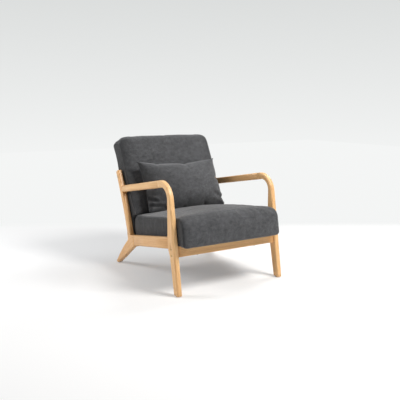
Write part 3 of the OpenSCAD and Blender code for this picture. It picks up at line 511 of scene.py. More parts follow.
def legRungs():
    f = sideFrame
    e, j, lean = f["edge"], f["jointEdge"], tanDeg(f["legLean"])

    def rung(p, inner):
        return legFront(p[1]), p, timberT, e, inner

    kneeLow = seatPoint(0, -f["railDepth"])
    shinZ = kneeLow[1] - f["flare"]
    shin = np.array([legFront(shinZ)[0] + f["shin"], shinZ])
    slope = (shin[0] - toeY - f["foot"]) / shinZ
    flareMid = np.array([shin[0] + slope * f["flare"] * 0.6, shinZ + f["flare"] * 0.6])
    foot = np.array([toeY + f["foot"] + slope * f["glide"], f["glide"]])
    rungs = [rung(mix(foot, shin, t), e) for t in np.linspace(0, 1, 6)]
    for t in np.linspace(0.1, 0.9, 9):
        p = mix(mix(shin, flareMid, t), mix(flareMid, kneeLow, t), t)
        rungs.append(rung(p, mix(e, j, smooth((t - 0.55) / 0.35))))
    rungs += [rung(kneeLow, j), rung(railStart, j)]
    rungs += [rung(railStart + np.array([0, rise]), mix(j, e, smooth(rise / 0.012)))
              for rise in (0.004, 0.008, 0.012)]
    high, low = seatPoint(0, armHigh), seatPoint(0, armLow)
    outerCorner = high + (lean * high[1] - (high[0] - toeY)) / (seatDir[0] - lean * seatDir[1]) * seatDir
    innerCorner = low + (railStart[0] - low[0]) / seatDir[0] * seatDir
    ends = [seatPoint(f["railLength"], v) for v in (armHigh, armLow)]
    outerArc = fillet(legFront(railStart[1]), outerCorner, ends[0], f["elbowOut"], 26)
    innerArc = fillet(railStart, innerCorner, ends[1], f["elbowIn"], 26)
    pairs = [(mix(rungs[-1][0], outerArc[0], k), mix(rungs[-1][1], innerArc[0], k)) for k in (0.33, 0.67)]
    armU = max((arc[-1] - railStart) @ seatDir for arc in (outerArc, innerArc)) + 0.012
    pairs += [*zip(outerArc, innerArc), (seatPoint(armU, armHigh), seatPoint(armU, armLow))]
    return rungs + [(a, b, timberT, e, e) for a, b in pairs], armU


railEnd = seatPoint(sideFrame["railLength"], 0)


def postFront(z):
    h = sideFrame["postTop"] - railEnd[1]
    t = (z - railEnd[1]) / h
    return railEnd[0] + h * t * tanDeg(sideFrame["postLean"]) - 4 * sideFrame["postBow"] * t * (1 - t)


def postRear(z):
    return postFront(z) + sideFrame["post"]


def postMeets(edge, v):
    # Where a seat line meets an edge of the post
    y, z = seatPoint(0, v)
    at = 0.3
    for _ in range(12):
        at = z - (edge(at) - y) * tanDeg(sideFrame["tilt"])
    return np.array([edge(at), at])


heelTop = postMeets(postRear, 0)
armEnd = postMeets(postFront, armHigh), postMeets(postFront, armLow)


def postRungs():
    f = sideFrame
    (_, topZ), (_, lowZ) = armEnd
    topRound, roundRise = f["topRound"]
    lean = math.atan((postRear(f["postTop"]) - postRear(f["postTop"] - 0.02)) / 0.02)
    e, j = f["edge"], f["jointEdge"]

    def rung(z, share, ra, rb, by=0, thick=timberT):
        rise = share * f["post"] * math.cos(lean) * math.sin(lean)
        a, b = np.array([postRear(z), z]), np.array([postFront(z + rise), z + rise])
        way = unit(b - a)
        return a + way * by, b - way * by, thick, ra, rb

    rungs = [(heelTop, railEnd, timberT, j, j), rung(railEnd[1] + 0.006, 0, mix(j, e, 0.5), mix(j, e, 0.5))]
    rungs += [rung(z, 0, e, e) for z in np.linspace(railEnd[1] + 0.012, lowZ - 0.012, 8)]
    rungs += [rung(lowZ, 0, e, j), rung(topZ, 0, e, j), rung(topZ + 0.012, 0.1, e, e)]
    rungs += [rung(mix(topZ, f["postTop"], t), t, e, e) for t in (0.4, 0.6, 0.8)]
    for i in range(7):
        a = math.pi / 2 * i / 6
        z, by = f["postTop"] - roundRise * (1 - math.sin(a)), topRound * (1 - math.cos(a))
        edge = max(e - 0.3 * by, 0.005)
        rungs.append(rung(z, 1, edge, edge, by, timberT - 1.7 * by))
    return rungs


def heelRungs():
    f = sideFrame
    e, j = f["edge"], f["jointEdge"]
    kinkZ = railEnd[1] - f["kinkDrop"]
    kink = np.array([postRear(kinkZ), kinkZ])
    heel = np.array([toeY + f["length"], f["glide"]])
    toe = np.array([toeY + f["length"] - f["heel"], f["glide"]])
    rootU = f["railLength"] - f["head"]
    root = seatPoint(rootU, -f["railDepth"])
    arc = fillet(heelTop, kink, heel, f["kinkRound"], 12)
    out = -perp(unit(kink - heel))
    rear = arc + [mix(arc[-1], heel, t) + out * 4 * f["heelBow"] * t * (1 - t)
                  for t in np.linspace(0, 1, 13)[1:]]
    rungs = [(seatPoint(rootU, 0), root, timberT, e, e)]
    for p, t, outer in ((seatPoint(mix(rootU, f["railLength"], 0.5), 0), 0.05, e),
                        (seatPoint(f["railLength"] - 0.012, 0), 0.08, e), (railEnd, 0.12, j),
                        (mix(railEnd, heelTop, 0.97), 0.2, j)):
        rungs.append((p, mix(root, toe, t), timberT, outer, e))
    rungs += [(p, mix(root, toe, 0.24 + 0.76 * i / (len(rear) - 1)), timberT, e, e)
              for i, p in enumerate(rear)]
    return rungs, rootU


def straightRungs(start, end, steps):
    e = sideFrame["edge"]
    return [(mix(start[0], end[0], t), mix(start[1], end[1], t), timberT, e, e)
            for t in np.linspace(0, 1, steps)]


def boltPlaces(node, side):
    # The middles of the bolt heads on one side, from the points of their outer ends
    at = worldCoords(frame["nodes"][node])
    at = at[at[:, 0] * side > 0]
    ends = at[np.abs(at[:, 0]) > np.abs(at[:, 0]).max() - 0.0005]
    ends = ends[np.argsort(ends[:, 2])]
    groups = np.split(ends, np.where(np.diff(ends[:, 2]) > 0.008)[0] + 1)
    return [(g.min(0) + g.max(0))[1:] / 2 for g in groups]


def placed(piece, finish, body, slotName, *nodes):
    piece.data.materials.append(finish)
    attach(piece, body)
    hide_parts(*nodes)


def timber(kind, word, rungs, bevels, path=None):
    look, side, name = timberLook[kind], -1 if word == "left" else 1, f"{kind}_{word}"
    middleX = side * (outerX - timberT / 2)
    piece = loopPiece(name, [section(*r, middleX) for r in withEnds(rungs, *bevels)])
    for place in boltPlaces(look["bolts"], side) if "bolts" in look else ():
        drill(piece, side, side * outerX, *place)
    seed = timberLook["sideSeed"][word] + look["seed"]
    setGrain(piece, seed, look["shade"], path or [middleOf(r) for r in rungs])
    placed(piece, finishes["frame_wood"], "chair", "frame_wood", name)


joint, ending = sideFrame["jointBevel"], sideFrame["endBevel"]
legRun, armU = legRungs()
heelRun, rootU = heelRungs()
armRun = straightRungs((seatPoint(armU, armHigh), seatPoint(armU, armLow)), armEnd, 5)
railRun = straightRungs((seatPoint(0, 0), seatPoint(0, -sideFrame["railDepth"])),
                        (seatPoint(rootU, 0), seatPoint(rootU, -sideFrame["railDepth"])), 4)
bentPath = [middleOf(r) for r in legRun + armRun]
heelPath = [seatPoint(rootU - 0.02, -0.03), seatPoint(rootU + 0.03, -0.034),
            np.array([toeY + sideFrame["length"] - 0.018, 0])]
for word in ("left", "right"):
    timber("front_leg", word, legRun, (ending, joint), bentPath)
    timber("arm", word, armRun, (joint, joint), bentPath)
    timber("rear_post", word, postRungs(), (joint, sideFrame["topBevel"]))
    timber("side_rail", word, railRun, (joint, joint))
    timber("rear_leg", word, heelRun, (joint, ending), heelPath)
print("side frames made")

# Cross rails, straight bars between the side frames
crossRails = {"front_rail": {"edge": 0.0030, "seed": 71, "shade": -0.6},
              "rear_rail": {"edge": 0.0030, "seed": 72, "shade": 0.4}}


def crossRail(name, edge, seed, shade):
    u, v = measured(worldCoords(frame["nodes"][name]), railStart, seatDir, seatUp)
    low, high = (u.min() + edge, v.min() + edge), (u.max() - edge, v.max() - edge)
    outline = barOutline((*high, edge), (low[0], high[1], edge), (*low, edge), (high[0], low[1], edge))
    end = innerX - 0.00005
    piece = loopPiece(name, [[(x, *seatPoint(a, b)) for a, b in outline] for x in np.linspace(-end, end, 9)])
    setGrain(piece, seed, shade)
    placed(piece, finishes["frame_wood"], "chair", "frame_wood", name)


for name, look in crossRails.items():
    crossRail(name, **look)
print("cross rails made")

# Outlines of the cushions, in the seat's or the back's own plane, and what their seams have in common
cushionSeam = {
    "fine": 0.0012, "fineReach": 0.006, "grooveWide": 0.0013, "swellAt": 0.0045, "swellWide": 0.0032,
    # panelShadeReach is how far in from a side the painted shade of the side panels reaches
    "panelSpacing": 0.0060, "domeReach": 0.02, "panelShadeReach": 0.008, "hold": 0.006, "reach": 0.012,
    "plain": 0.0015, "puckerScale": 75,
}


def insetOutline(points, e):
    turned = [perp(unit(p - before)) for before, p in zip([points[-1]] + points, points)]
    return [p + (a + b) * e / (1 + a @ b) for p, a, b in zip(points, turned, turned[1:] + turned[:1])]


def cornerArcs(points, radii, steps):
    k = len(points)
    return [fillet(points[i - 1], points[i], points[(i + 1) % k], radii[i], steps[i]) for i in range(k)]


def roundedOutline(points, radii, arcSteps, edgeSteps):
    arcs = cornerArcs(points, radii, arcSteps)
    out = []
    for arc, after, steps in zip(arcs, arcs[1:] + arcs[:1], edgeSteps):
        out += arc + [mix(arc[-1], after[0], j / (steps + 1)) for j in range(1, steps + 1)]
    return out


def drawnIn(points, radii, e, steps, share):
    # The outline, drawn in by e as far as the share says at each point
    full = roundedOutline(points, radii, *steps)
    if e <= 0:
        return full
    inner = roundedOutline(insetOutline(points, e), [max(0.001, r - e) for r in radii], *steps)
    return [mix(a, b, share(a)) for a, b in zip(full, inner)]


def outlineSteps(points, radii, spacing):
    arcs = cornerArcs(points, radii, [12] * len(points))
    lengths = [sum(np.linalg.norm(b - a) for a, b in zip(arc[:-1], arc[1:])) for arc in arcs]
    gaps = [np.linalg.norm(after[0] - arc[-1]) for arc, after in zip(arcs, arcs[1:] + arcs[:1])]
    return [max(4, round(s / spacing)) for s in lengths], [max(1, round(s / spacing)) for s in gaps]


def throughPoints(points, steps):
    pts = [np.array(p, float) for p in points]
    pts = [2 * pts[0] - pts[1]] + pts + [2 * pts[-1] - pts[-2]]
    out = []
    for p0, p1, p2, p3 in zip(pts, pts[1:], pts[2:], pts[3:]):
        out += [0.5 * (2 * p1 + (p2 - p0) * t + (2 * p0 - 5 * p1 + 4 * p2 - p3) * t * t
                       + (3 * p1 - p0 - 3 * p2 + p3) * t ** 3) for t in (j / steps for j in range(steps))]
    return out + [pts[-2]]


def edgeProfile(look):
    # The edge of a cushion, from its face over the seam to its side panel, as [past the half width, inset]
    seam, curve = cushionSeam, np.array(throughPoints(look["edgeLine"], 24))
    run = np.concatenate([[0], np.cumsum(np.linalg.norm(np.diff(curve, axis=0), axis=1))])
    seamRun = run[np.argmin(np.abs(curve[:, 1] - look["seamAt"]) + (curve[:, 0] < look["edgeLine"][0][0]))]

    def at(s):
        return np.array([np.interp(s, run, curve[:, 0]), np.interp(s, run, curve[:, 1])])

    spots, s = [], 0.0
    while s < run[-1]:
        spots.append(s)
        s += seam["fine"] if abs(s - seamRun) < seam["fineReach"] else look["coarse"]
    out = []
    for s in spots + [run[-1]]:
        ahead, d = at(s + 0.0005) - at(s - 0.0005), s - seamRun
        push = (-look["groove"] * math.exp(-(d / seam["grooveWide"]) ** 2)
                + look["seamSwell"] * math.exp(-((abs(d) - seam["swellAt"]) / seam["swellWide"]) ** 2))
        out.append((at(s) - perp(unit(ahead)) * push, abs(d) < seam["fine"] * 0.6))
    return out


def insidePolygon(poly, x, y):
    a, b = poly, np.roll(poly, -1, axis=0)
    crosses = (a[:, 1] > y) != (b[:, 1] > y)
    with np.errstate(divide="ignore", invalid="ignore"):
        at = (b[:, 0] - a[:, 0]) * (y - a[:, 1]) / (b[:, 1] - a[:, 1]) + a[:, 0]
    return bool(np.count_nonzero(crosses & (x < at)) % 2)


def panelCap(loop):
    # Fills the end of a cushion, a closed loop in one plane, with a net of small faces
    flat, n, spacing = [Vector(p[1:]) for p in loop], len(loop), cushionSeam["panelSpacing"]
    poly = np.array(flat)
    tree = treeOf([(*p, 0) for p in poly])
    low, high = poly.min(0), poly.max(0)
    inside, row, y = [], 0, low[1]
    while y < high[1]:
        x = low[0] + (spacing / 2 if row % 2 else 0)
        while x < high[0]:
            if tree.find((x, y, 0))[2] > spacing * 0.65 and insidePolygon(poly, x, y):
                inside.append(Vector((x, y)))
            x += spacing
        y, row = y + spacing * 0.866, row + 1
    rim = [(i, (i + 1) % n) for i in range(n)]
    verts, _, faces, origin, _, _ = delaunay_2d_cdt(flat + inside, rim, [], 1, 1e-6)
    return verts, faces, origin, tree


def boxedCushion(name, look, loopAt):
    # A skin of loops across the cushion, its two ends closed by side panels
    half, (plain, count), profile = look["width"] / 2, look["middle"], edgeProfile(look)
    stations = [(-(half + p[0]), p[1], seam) for p, seam in reversed(profile)]
    stations += [(x, 0.0, False) for x in np.linspace(-half + plain, half - plain, count)]
    stations += [(half + p[0], p[1], seam) for p, seam in profile]
    loops = [loopAt(x, e) for x, e, _ in stations]
    n, verts = len(loops[0]), [p for loop in loops for p in loop]
    faces = tubeFaces(len(loops), n)
    for side, loop, first in ((-1, loops[0], 0), (1, loops[-1], len(verts) - n)):
        made, madeFaces, origin, tree = panelCap(loop)
        index = []
        for v, source in zip(made, origin):
            edge = [o for o in source if o < n]
            index.append(first + edge[0] if edge else len(verts))
            if not edge:
                gap = tree.find((v.x, v.y, 0))[2]
                rise = look["dome"] * (1 - math.exp(-gap / cushionSeam["domeReach"]))
                verts.append((loop[0][0] + side * rise, v.x, v.y))
        faces += [tuple(index[i] for i in f) for f in madeFaces]
    piece = newPiece(name, verts, faces)
    fixNormals(piece)
    smoothAll(piece)
    return piece, [p for loop, station in zip(loops, stations) if station[2] for p in loop]


def setPaintedShade(piece, look):
    # Painted shade: the side panels are darkened where they face sideways, and the painted shade fades out
    # over the edge onto the face
    share, edgeShare, reach = look["painted_shade"]
    inward = look["width"] / 2 - np.abs(coords(piece.data)[:, 0])
    facing = np.abs(vertexNormals(piece.data)[:, 0])
    side = np.clip(1 - inward / cushionSeam["panelShadeReach"], 0, 1) * np.clip(facing * 1.6 - 0.3, 0, 1)
    edge = np.clip(1 - inward / reach, 0, 1)
    store(piece, "painted_shade", np.maximum(share * side, edgeShare * edge * edge * (3 - 2 * edge)))


# Cloth, run on a copy with an even mesh; what it adds is carried over to the cushion

def evenCopy(piece, voxel):
    copy = bpy.data.objects.new(piece.name + "_cloth", piece.data.copy())
    scene.collection.objects.link(copy)
    remesh = copy.modifiers.new("even", "REMESH")
    remesh.mode, remesh.voxel_size = "VOXEL", voxel
    applyModifiers(copy)
    return copy


def runCloth(piece, held, look):
    group = piece.vertex_groups.new(name="held")
    group.add([int(i) for i in np.flatnonzero(held)], 1.0, "REPLACE")
    cloth = piece.modifiers.new("cloth", "CLOTH")
    s = cloth.settings
    s.vertex_group_mass, s.use_pressure, s.effector_weights.gravity = "held", True, 0
    s.quality, s.mass, s.uniform_pressure_force = look["quality"], look["mass"], look["pressure"]
    s.tension_stiffness = s.compression_stiffness = look["stretch"]
    s.shear_stiffness, s.bending_stiffness = look["shear"], look["bending"]
    s.shrink_min = s.shrink_max = look["shrink"]
    if "volume" in look:
        s.use_pressure_volume, s.target_volume, s.pressure_factor = True, look["volume"], look["factor"]
    cloth.collision_settings.use_collision = cloth.collision_settings.use_self_collision = False
    for f in range(1, look["frames"] + 1):
        scene.frame_set(f)
    applyModifiers(piece)
    scene.frame_set(1)
    piece.vertex_groups.clear()


def smoothField(mesh, field, rounds):
    edges = np.empty(len(mesh.edges) * 2, dtype=np.int64)
    mesh.edges.foreach_get("vertices", edges)
    a, b = edges[0::2], edges[1::2]
    degree = np.bincount(np.concatenate([a, b]), minlength=len(field)).astype(float)
    out = field.copy()
    for _ in range(rounds):
        total = np.stack([np.bincount(a, out[b, k], len(out)) + np.bincount(b, out[a, k], len(out))
                          for k in range(field.shape[1])], 1)
        out = 0.35 * out + 0.65 * total / degree[:, None]
    return out


def carried(source, field, places):
    # Each place takes the field of the four nearest points of the source, the near ones most
    tree, out = treeOf(source), []
    for p in places:
        _, near, gaps = zip(*tree.find_n(p, 4))
        share = 1 / (np.array(gaps) + 0.0008)
        out.append(share @ field[list(near)] / share.sum())
    return np.array(out)


def capped(field, most):
    size = np.linalg.norm(field, axis=1)[:, None]
    return field * np.minimum(1, most / np.maximum(size, 1e-9))


def clothWrinkles(piece, look, heldAt):
    copy = evenCopy(piece, look["voxel"])
    before = coords(copy.data)
    runCloth(copy, heldAt(before), look)
    move = coords(copy.data) - before
    coarse = smoothField(copy.data, move, look["rounds"])
    fine = capped(move - coarse, look["wrinkleCap"])
    out = carried(before, capped(coarse, look["swellCap"]) * look["swell"] + fine * look["wrinkle"],
                  coords(piece.data))
    print(piece.name, "cloth moved up to", round(float(np.linalg.norm(move, axis=1).max()) * 1000, 1),
          "mm, wrinkles", round(float(np.abs(fine).max()) * 1000, 2), "mm")
    bpy.data.objects.remove(copy)
    return out


def roll(places, scale, seed):
    shift = Vector((seed * 3.17, seed * 1.31, seed * 7.77))
    return np.array([noise.noise(Vector(p) * scale + shift) for p in places])


def gapsTo(line, places):
    tree = treeOf(line)
    return np.array([tree.find(p)[2] for p in places])


def cushion(name, look, loopAt, freedom, fixed, finish, node):
    # A boxed cushion with billows, puckers at its seams and wrinkles from a cloth run
    piece, seam = boxedCushion(name, look, loopAt)
    # Painted shade on the side panels and over their edges
    setPaintedShade(piece, look)
    co = coords(piece.data)
    free, puckers = freedom(co)
    gaps = gapsTo(seam, co)

    def held(at):
        return (gapsTo(seam, at) < cushionSeam["hold"]) | fixed(at)

    near = np.exp(-(gaps / cushionSeam["reach"]) ** 2)
    shift = vertexNormals(piece.data) * (
        look["billow"] * roll(co, look["billowScale"], look["seed"]) * (1 - near) * free
        + look["pucker"] * roll(co, cushionSeam["puckerScale"], look["seed"] + 1) * near * puckers
        * (gaps > cushionSeam["plain"]))[:, None]
    shift += clothWrinkles(piece, look["cloth"], held) * (free * (1 - near))[:, None]
    setCoords(piece.data, co + shift)
    placed(piece, finish, "chair", "upholstery", node)
    print(name, "made,", len(piece.data.vertices), "points")
    return piece


cushionCloth = {"voxel": 0.006, "quality": 5, "mass": 0.3, "stretch": 15, "shear": 5, "bending": 0.5,
                "pressure": 4, "frames": 20, "rounds": 40, "swell": 0.35, "wrinkle": 0.7}

# Seat cushion, on the seat lines
seat = {
    "width": 2 * (innerX - 0.010), "front": 0.119, "length": 0.462, "drop": 0.048, "height": 0.150,
    "droop": 0.013, "belly": 0.005, "lipAt": -0.047, "corners": (0.008, 0.058, 0.060, 0.018, 0.024),
    "crown": 0.029, "wedge": 0.010, "push": 0.006, "pull": 0.003, "spacing": 0.0048, "coarse": 0.0036,
    "middle": (0.0380, 100), "dome": 0.0012, "seamAt": 0.0085, "groove": 0.0012, "seamSwell": 0.0003,
    # nap: painted shade on the side panels, over the edge, and how far in it reaches
    "pucker": 0.0006, "billow": 0.0014, "billowScale": 11, "seed": 1, "painted_shade": (0.72, 0.25, 0.030),
    "sideSpread": 0.004, "sideCalm": 0.3, "underDraw": 0.15, "rearDraw": 0.3, "fixed": (-0.040, 0.450),
    "edgeLine": ((-0.034, 0), (-0.027, 0), (-0.014, 0.0012), (-0.0045, 0.0044), (0.0010, 0.0098),
                 (0.0032, 0.018), (0.0038, 0.030), (0.004, 0.046)),
    "cloth": {**cushionCloth, "shrink": -0.015, "swellCap": 0.006, "wrinkleCap": 0.0025},
}
chinU = seat["length"] - seat["corners"][1]
seatTopV = seat["height"] - seat["drop"]
seatOutline = [np.array(p) for p in (
    (seat["length"], -seat["drop"]), (seat["length"], seatTopV), (-seat["front"], seatTopV),
    (-seat["front"], -seat["drop"] - seat["droop"]), (seat["lipAt"], -seat["drop"]))]
seatSteps = outlineSteps(seatOutline, seat["corners"], seat["spacing"])


def seatShare(u):
    return (2 * u + seat["front"] - chinU) / (chinU + seat["front"])


def seatLift(x, u):
    return (seat["crown"] * bump(2 * x / seat["width"]) * bump(seatShare(u))
            + seat["wedge"] * seatShare(u))


def seatDraw(p):
    # Little under the seat and at its rear, where frame and foam fill the cover
    under = smooth((p[1] + seat["drop"]) / 0.045)
    front = smooth((seat["lipAt"] - p[0]) / 0.030)
    rear = smooth((p[0] - 0.36) / 0.06)
    return mix(seat["underDraw"], 1, max(under, front)) * mix(1, seat["rearDraw"], rear)


def seatLoop(x, e):
    half = seat["width"] / 2
    loop = []
    for p in drawnIn(seatOutline, seat["corners"], e, seatSteps, seatDraw):
        share, up = seatShare(p[0]), 2 * (p[1] + seat["drop"]) / seat["height"] - 1
        push = seat["push"] * bump(x / half) * bump(up) * max(0, -share)
        lip = (seat["lipAt"] - p[0]) / (seat["lipAt"] + seat["front"])
        sag = 4 * seat["belly"] * max(0, lip) * max(0, 1 - lip) * max(0, -up)
        q = seatPoint(p[0] - push, p[1] + seatLift(x, p[0]) * max(0, up) - sag)
        spread = seat["sideSpread"] * smooth((-0.020 - p[0]) / 0.050) - seat["pull"] * bump(share)
        loop.append((x * (1 + spread / half), *q))
    return loop


def seatFreedom(co):
    u, v = measured(co, railStart, seatDir, seatUp)
    sides = np.where(np.abs(co[:, 0]) > seat["width"] / 2 - 0.002, seat["sideCalm"], 1.0)
    return np.clip((v + 0.046) / 0.020, 0, 1) * np.clip((chinU + 0.030 - u) / 0.050, 0, 1) * sides, 1.0


def seatFixed(co):
    u, v = measured(co, railStart, seatDir, seatUp)
    return (v < seat["fixed"][0]) | (u > seat["fixed"][1])


seatPiece = cushion("seat_cushion", seat, seatLoop, seatFreedom, seatFixed, finishes["upholstery"],
                    "seat_cover")

# Back cushion, its rear line leaning behind the posts
back = {
    "width": 2 * (innerX - 0.006), "lean": 27.5, "thick": 0.118, "top": 0.751, "behind": 0.032,
    "crown": 0.008, "cornerRound": (0.008, 0.022), "rise": 0.014, "riseSide": 0.45, "clear": 0.0005,
    "corners": (0.013, 0.034, 0.010, 0.058, 0.003, 0.003), "spacing": 0.0050, "coarse": 0.0030,
    "middle": (0.0740, 88), "dome": 0.0004, "seamAt": 0.0145, "groove": 0.0003, "seamSwell": 0.0001,
    # nap: painted shade on the side panels, over the edge, and how far in it reaches
    "pucker": 0.0004, "billow": 0.0013, "billowScale": 9, "seed": 5, "painted_shade": (1.0, 0.55, 0.060),
    "sideSpread": (-0.0040, 0.0090), "rearDraw": (0.30, 0.05), "footDraw": 0.15, "fixed": 0.004,
    "edgeLine": ((-0.070, 0), (-0.062, 0.0001), (-0.040, 0.0018), (-0.024, 0.0046), (-0.012, 0.0084),
                 (-0.004, 0.0128), (0.002, 0.0178), (0.004, 0.0245)),
    "cloth": {**cushionCloth, "shrink": -0.012, "swellCap": 0.005, "wrinkleCap": 0.002},
}
lean = math.radians(back["lean"])
backStart = np.array([postRear(sideFrame["postTop"]) + back["behind"], sideFrame["postTop"]])
backDir = np.array([math.sin(lean), math.cos(lean)])
backOut = np.array([-math.cos(lean), math.sin(lean)])


def backPoint(p, q):
    return backStart + p * backDir + q * backOut


def backMeets(q, v):
    d = backPoint(0, q) - seatPoint(0, v)
    return backPoint(0, q) - (d @ seatUp) / (backDir @ seatUp) * backDir


backTopP = (back["top"] - backStart[1] - back["thick"] * math.sin(lean) * 0.75) / math.cos(lean)
notchV = seatTopV + seat["wedge"] * 1.05 + back["clear"]
chin = backMeets(back["thick"], notchV)
chinP = float((chin - backStart) @ backDir)
backFootV = -seat["drop"] + back["clear"]
backLower = [chin, seatPoint(seat["length"] + back["clear"], notchV),
             seatPoint(seat["length"] + back["clear"], backFootV), backMeets(0, backFootV)]
backSteps = outlineSteps([backPoint(backTopP, 0), backPoint(backTopP, back["thick"])] + backLower,
                         back["corners"], back["spacing"])


def backPush(x, share):
    return back["crown"] * bump(2 * x / back["width"]) * bump(share)


def topDrop(x, r):
    over = min(abs(x), back["width"] / 2) - (back["width"] / 2 - r)
    return 0.0 if over <= 0 else r - math.sqrt(max(0.0, r * r - over * over))


def upAndOut(p):
    return (p - backStart) @ backDir, (p - backStart) @ backOut / back["thick"]


def backDraw(p):
    # All of it in front and at the top, little behind and at the foot
    up, out = upAndOut(p)
    rear = mix(*back["rearDraw"], smooth((up - backTopP + 0.08) / 0.06))
    foot = smooth((up - chinP - 0.004) / 0.05)
    return mix(rear, 1, smooth((out - 0.12) / 0.5)) * mix(back["footDraw"], 1, foot)


def backLoop(x, e):
    half = back["width"] / 2
    rear, front = (topDrop(x, r) for r in back["cornerRound"])
    path = [backPoint(backTopP - rear, 0), backPoint(backTopP - front, back["thick"])] + backLower
    loop = []
    for p in drawnIn(path, back["corners"], e, backSteps, backDraw):
        up, out = upAndOut(p)
        share = 2 * (up - chinP) / (backTopP - chinP) - 1
        push = backPush(x, share) * max(0, out) * (1 if up > chinP else 0)
        rise = back["rise"] * mix(back["riseSide"], 1, bump((x / half) ** 2))
        rise = rise * bump(out * 2 - 1) * max(0, share)
        q = p + backOut * push + backDir * rise
        spread = back["sideSpread"][0 if x < 0 else 1] * smooth((q[1] - sideFrame["postTop"] + 0.010) / 0.070)
        loop.append((x * (1 + spread / half), *q))
    return loop


def backFreedom(co):
    up, sides = measured(co, backStart, backDir, backOut)[0], back["width"] / 2 + 0.001 - np.abs(co[:, 0])
    free = np.clip((up - chinP - 0.002) / 0.030, 0, 1) * np.clip(sides / 0.004, 0, 1)
    return free, free


def backFixed(co):
    return measured(co, backStart, backDir, backOut)[0] < chinP + back["fixed"]


backPiece = cushion("back_cushion", back, backLoop, backFreedom, backFixed, shadedBackCloth, "back_cover")

# Loose pillow: two sheets sewn at the edge, blown up as cloth, its edge then hung as the real one's
pillow = {
    "width": 0.510, "height": 0.309, "thick": 0.104, "edge": 0.0026, "clear": 0.0005, "spacing": 0.0068,
    "cut": 1.02, "topSag": 0.027, "ears": (0.005, -0.002), "earOut": (0.009, 0.016),
    "sidePull": (0.019, 0.006), "footRise": (-0.004, -0.002), "footOut": (0.0, 0.007), "lens": 0.6,
    "frontFull": 1.2, "apart": 0.012, "calm": 0.25, "calmTo": (0.62, 0.90), "softer": 4,
    # paintedShadeLeft and paintedShadeFoot: painted shade where the pillow turns to the left and down
    "calmRounds": (10, 30), "broadRounds": 60, "paintedShadeLeft": (0.85, 0.40), "paintedShadeFoot": (0.3, 0.35),
    "sideWave": ((0.062, 0.013, 0.0065), (0.040, 0.009, -0.0050), (0.020, 0.010, 0.0030)),
    "folds": ((-0.250, 0.090, -0.190, 0.062, 0.008, 0.0060), (-0.247, 0.068, -0.195, 0.046, 0.007, -0.0070),
              (-0.248, 0.046, -0.145, 0.030, 0.008, 0.0066), (-0.244, 0.028, -0.160, 0.017, 0.006, -0.0055),
              (0.252, 0.062, 0.185, 0.096, 0.009, 0.0050), (0.246, 0.041, 0.180, 0.066, 0.008, -0.0064),
              (0.250, 0.020, 0.170, 0.036, 0.008, 0.0046)),
    "cloth": {"quality": 6, "mass": 0.15, "stretch": 20, "shear": 6, "bending": 1.0, "pressure": 2,
              "shrink": 0.0, "volume": 0.0095, "factor": 12, "frames": 40},
}
pillowShare = pillow["height"] / (backTopP - chinP) - 1
pillowQ = back["thick"] + backPush(0, pillowShare) + pillow["clear"] + pillow["thick"] / 2
pillowU = float((backMeets(pillowQ, seatTopV + seat["wedge"]) - railStart) @ seatDir)
pillowFoot = backMeets(pillowQ, seatTopV + seatLift(0, pillowU) + pillow["clear"] + pillow["edge"] / 4)
cutHalf = [pillow[way] * pillow["cut"] / 2 for way in ("width", "height")]
columns, rows = (round(2 * half / pillow["spacing"]) for half in cutHalf)


def sheetKey(i, j, sheet):
    return i, j, 0 if i in (0, columns) or j in (0, rows) else sheet


def sheetPlace(i, j):
    # Place in a sheet, from -1 to 1 across and up
    return 2 * i / columns - 1, 2 * j / rows - 1


def flatPillow():
    # Two sheets over the cut outline, joined along their edge, a little apart in the middle
    verts, faces, spots = [], [], {}
    for sheet in (1, -1):
        for j in range(rows + 1):
            for i in range(columns + 1):
                key, (s, t) = sheetKey(i, j, sheet), sheetPlace(i, j)
                if key not in spots:
                    spots[key] = len(verts)
                    apart = key[2] * pillow["apart"] * ((1 - s ** 4) * (1 - t ** 4)) ** 0.5
                    verts.append((s * cutHalf[0], t * cutHalf[1], apart))
    for sheet in (1, -1):
        for j in range(rows):
            for i in range(columns):
                corner = [spots[sheetKey(i + a, j + b, sheet)] for a, b in ((0, 0), (1, 0), (1, 1), (0, 1))]
                faces.append(tuple(corner[::sheet]))
    return verts, faces, spots


def hungEdge(s, t):
    # Where a point of the sewn edge hangs: the top sags between its ears, the sides draw in
    hand = 0 if s < 0 else 1
    top = pillow["height"] + mix(*pillow["ears"], (s + 1) / 2) - pillow["topSag"] * (1 - abs(s) ** 2.5)
    h = mix(pillow["footRise"][hand] * s * s, top, (t + 1) / 2)
    pull = (pillow["sidePull"][hand] * (1 - abs(t) ** 2.2) - pillow["earOut"][hand] * max(0, t) ** 5
            - pillow["footOut"][hand] * max(0, -t) ** 5)
    wave = sum(by * math.exp(-((h - at) / wide) ** 2) for at, wide, by in pillow["sideWave"]) if s > 0 else 0
    return np.array([s * (pillow["width"] / 2 - pull + wave * (1 - abs(t) ** 8)), h])


def evened(values):
    # The run of an edge without its puckers
    k = np.linspace(-1, 1, len(values))
    w = np.ones(len(k))
    w[[0, -1]] = 20
    return np.stack([np.polyval(np.polyfit(k, values[:, a], 4, w=w), k) for a in range(2)], 1)


def hang(local):
    # Moves the whole sheet by what its four edges lack, so that the wrinkles stay
    def lack(edge):
        run = np.array([local[spots[(i, j, 0)], :2] for i, j in edge])
        return np.array([hungEdge(*sheetPlace(i, j)) for i, j in edge]) - evened(run)

    low, high = (lack([(i, j) for i in range(columns + 1)]) for j in (0, rows))
    left, right = (lack([(i, j) for j in range(rows + 1)]) for i in (0, columns))
    i, j = np.array([key[:2] for key in spots]).T
    a, b = (i / columns)[:, None], (j / rows)[:, None]
    corners = (1 - a) * ((1 - b) * low[0] + b * high[0]) + a * ((1 - b) * low[-1] + b * high[-1])
    local[:, :2] += (1 - b) * low[i] + b * high[i] + (1 - a) * left[j] + a * right[j] - corners
    return local


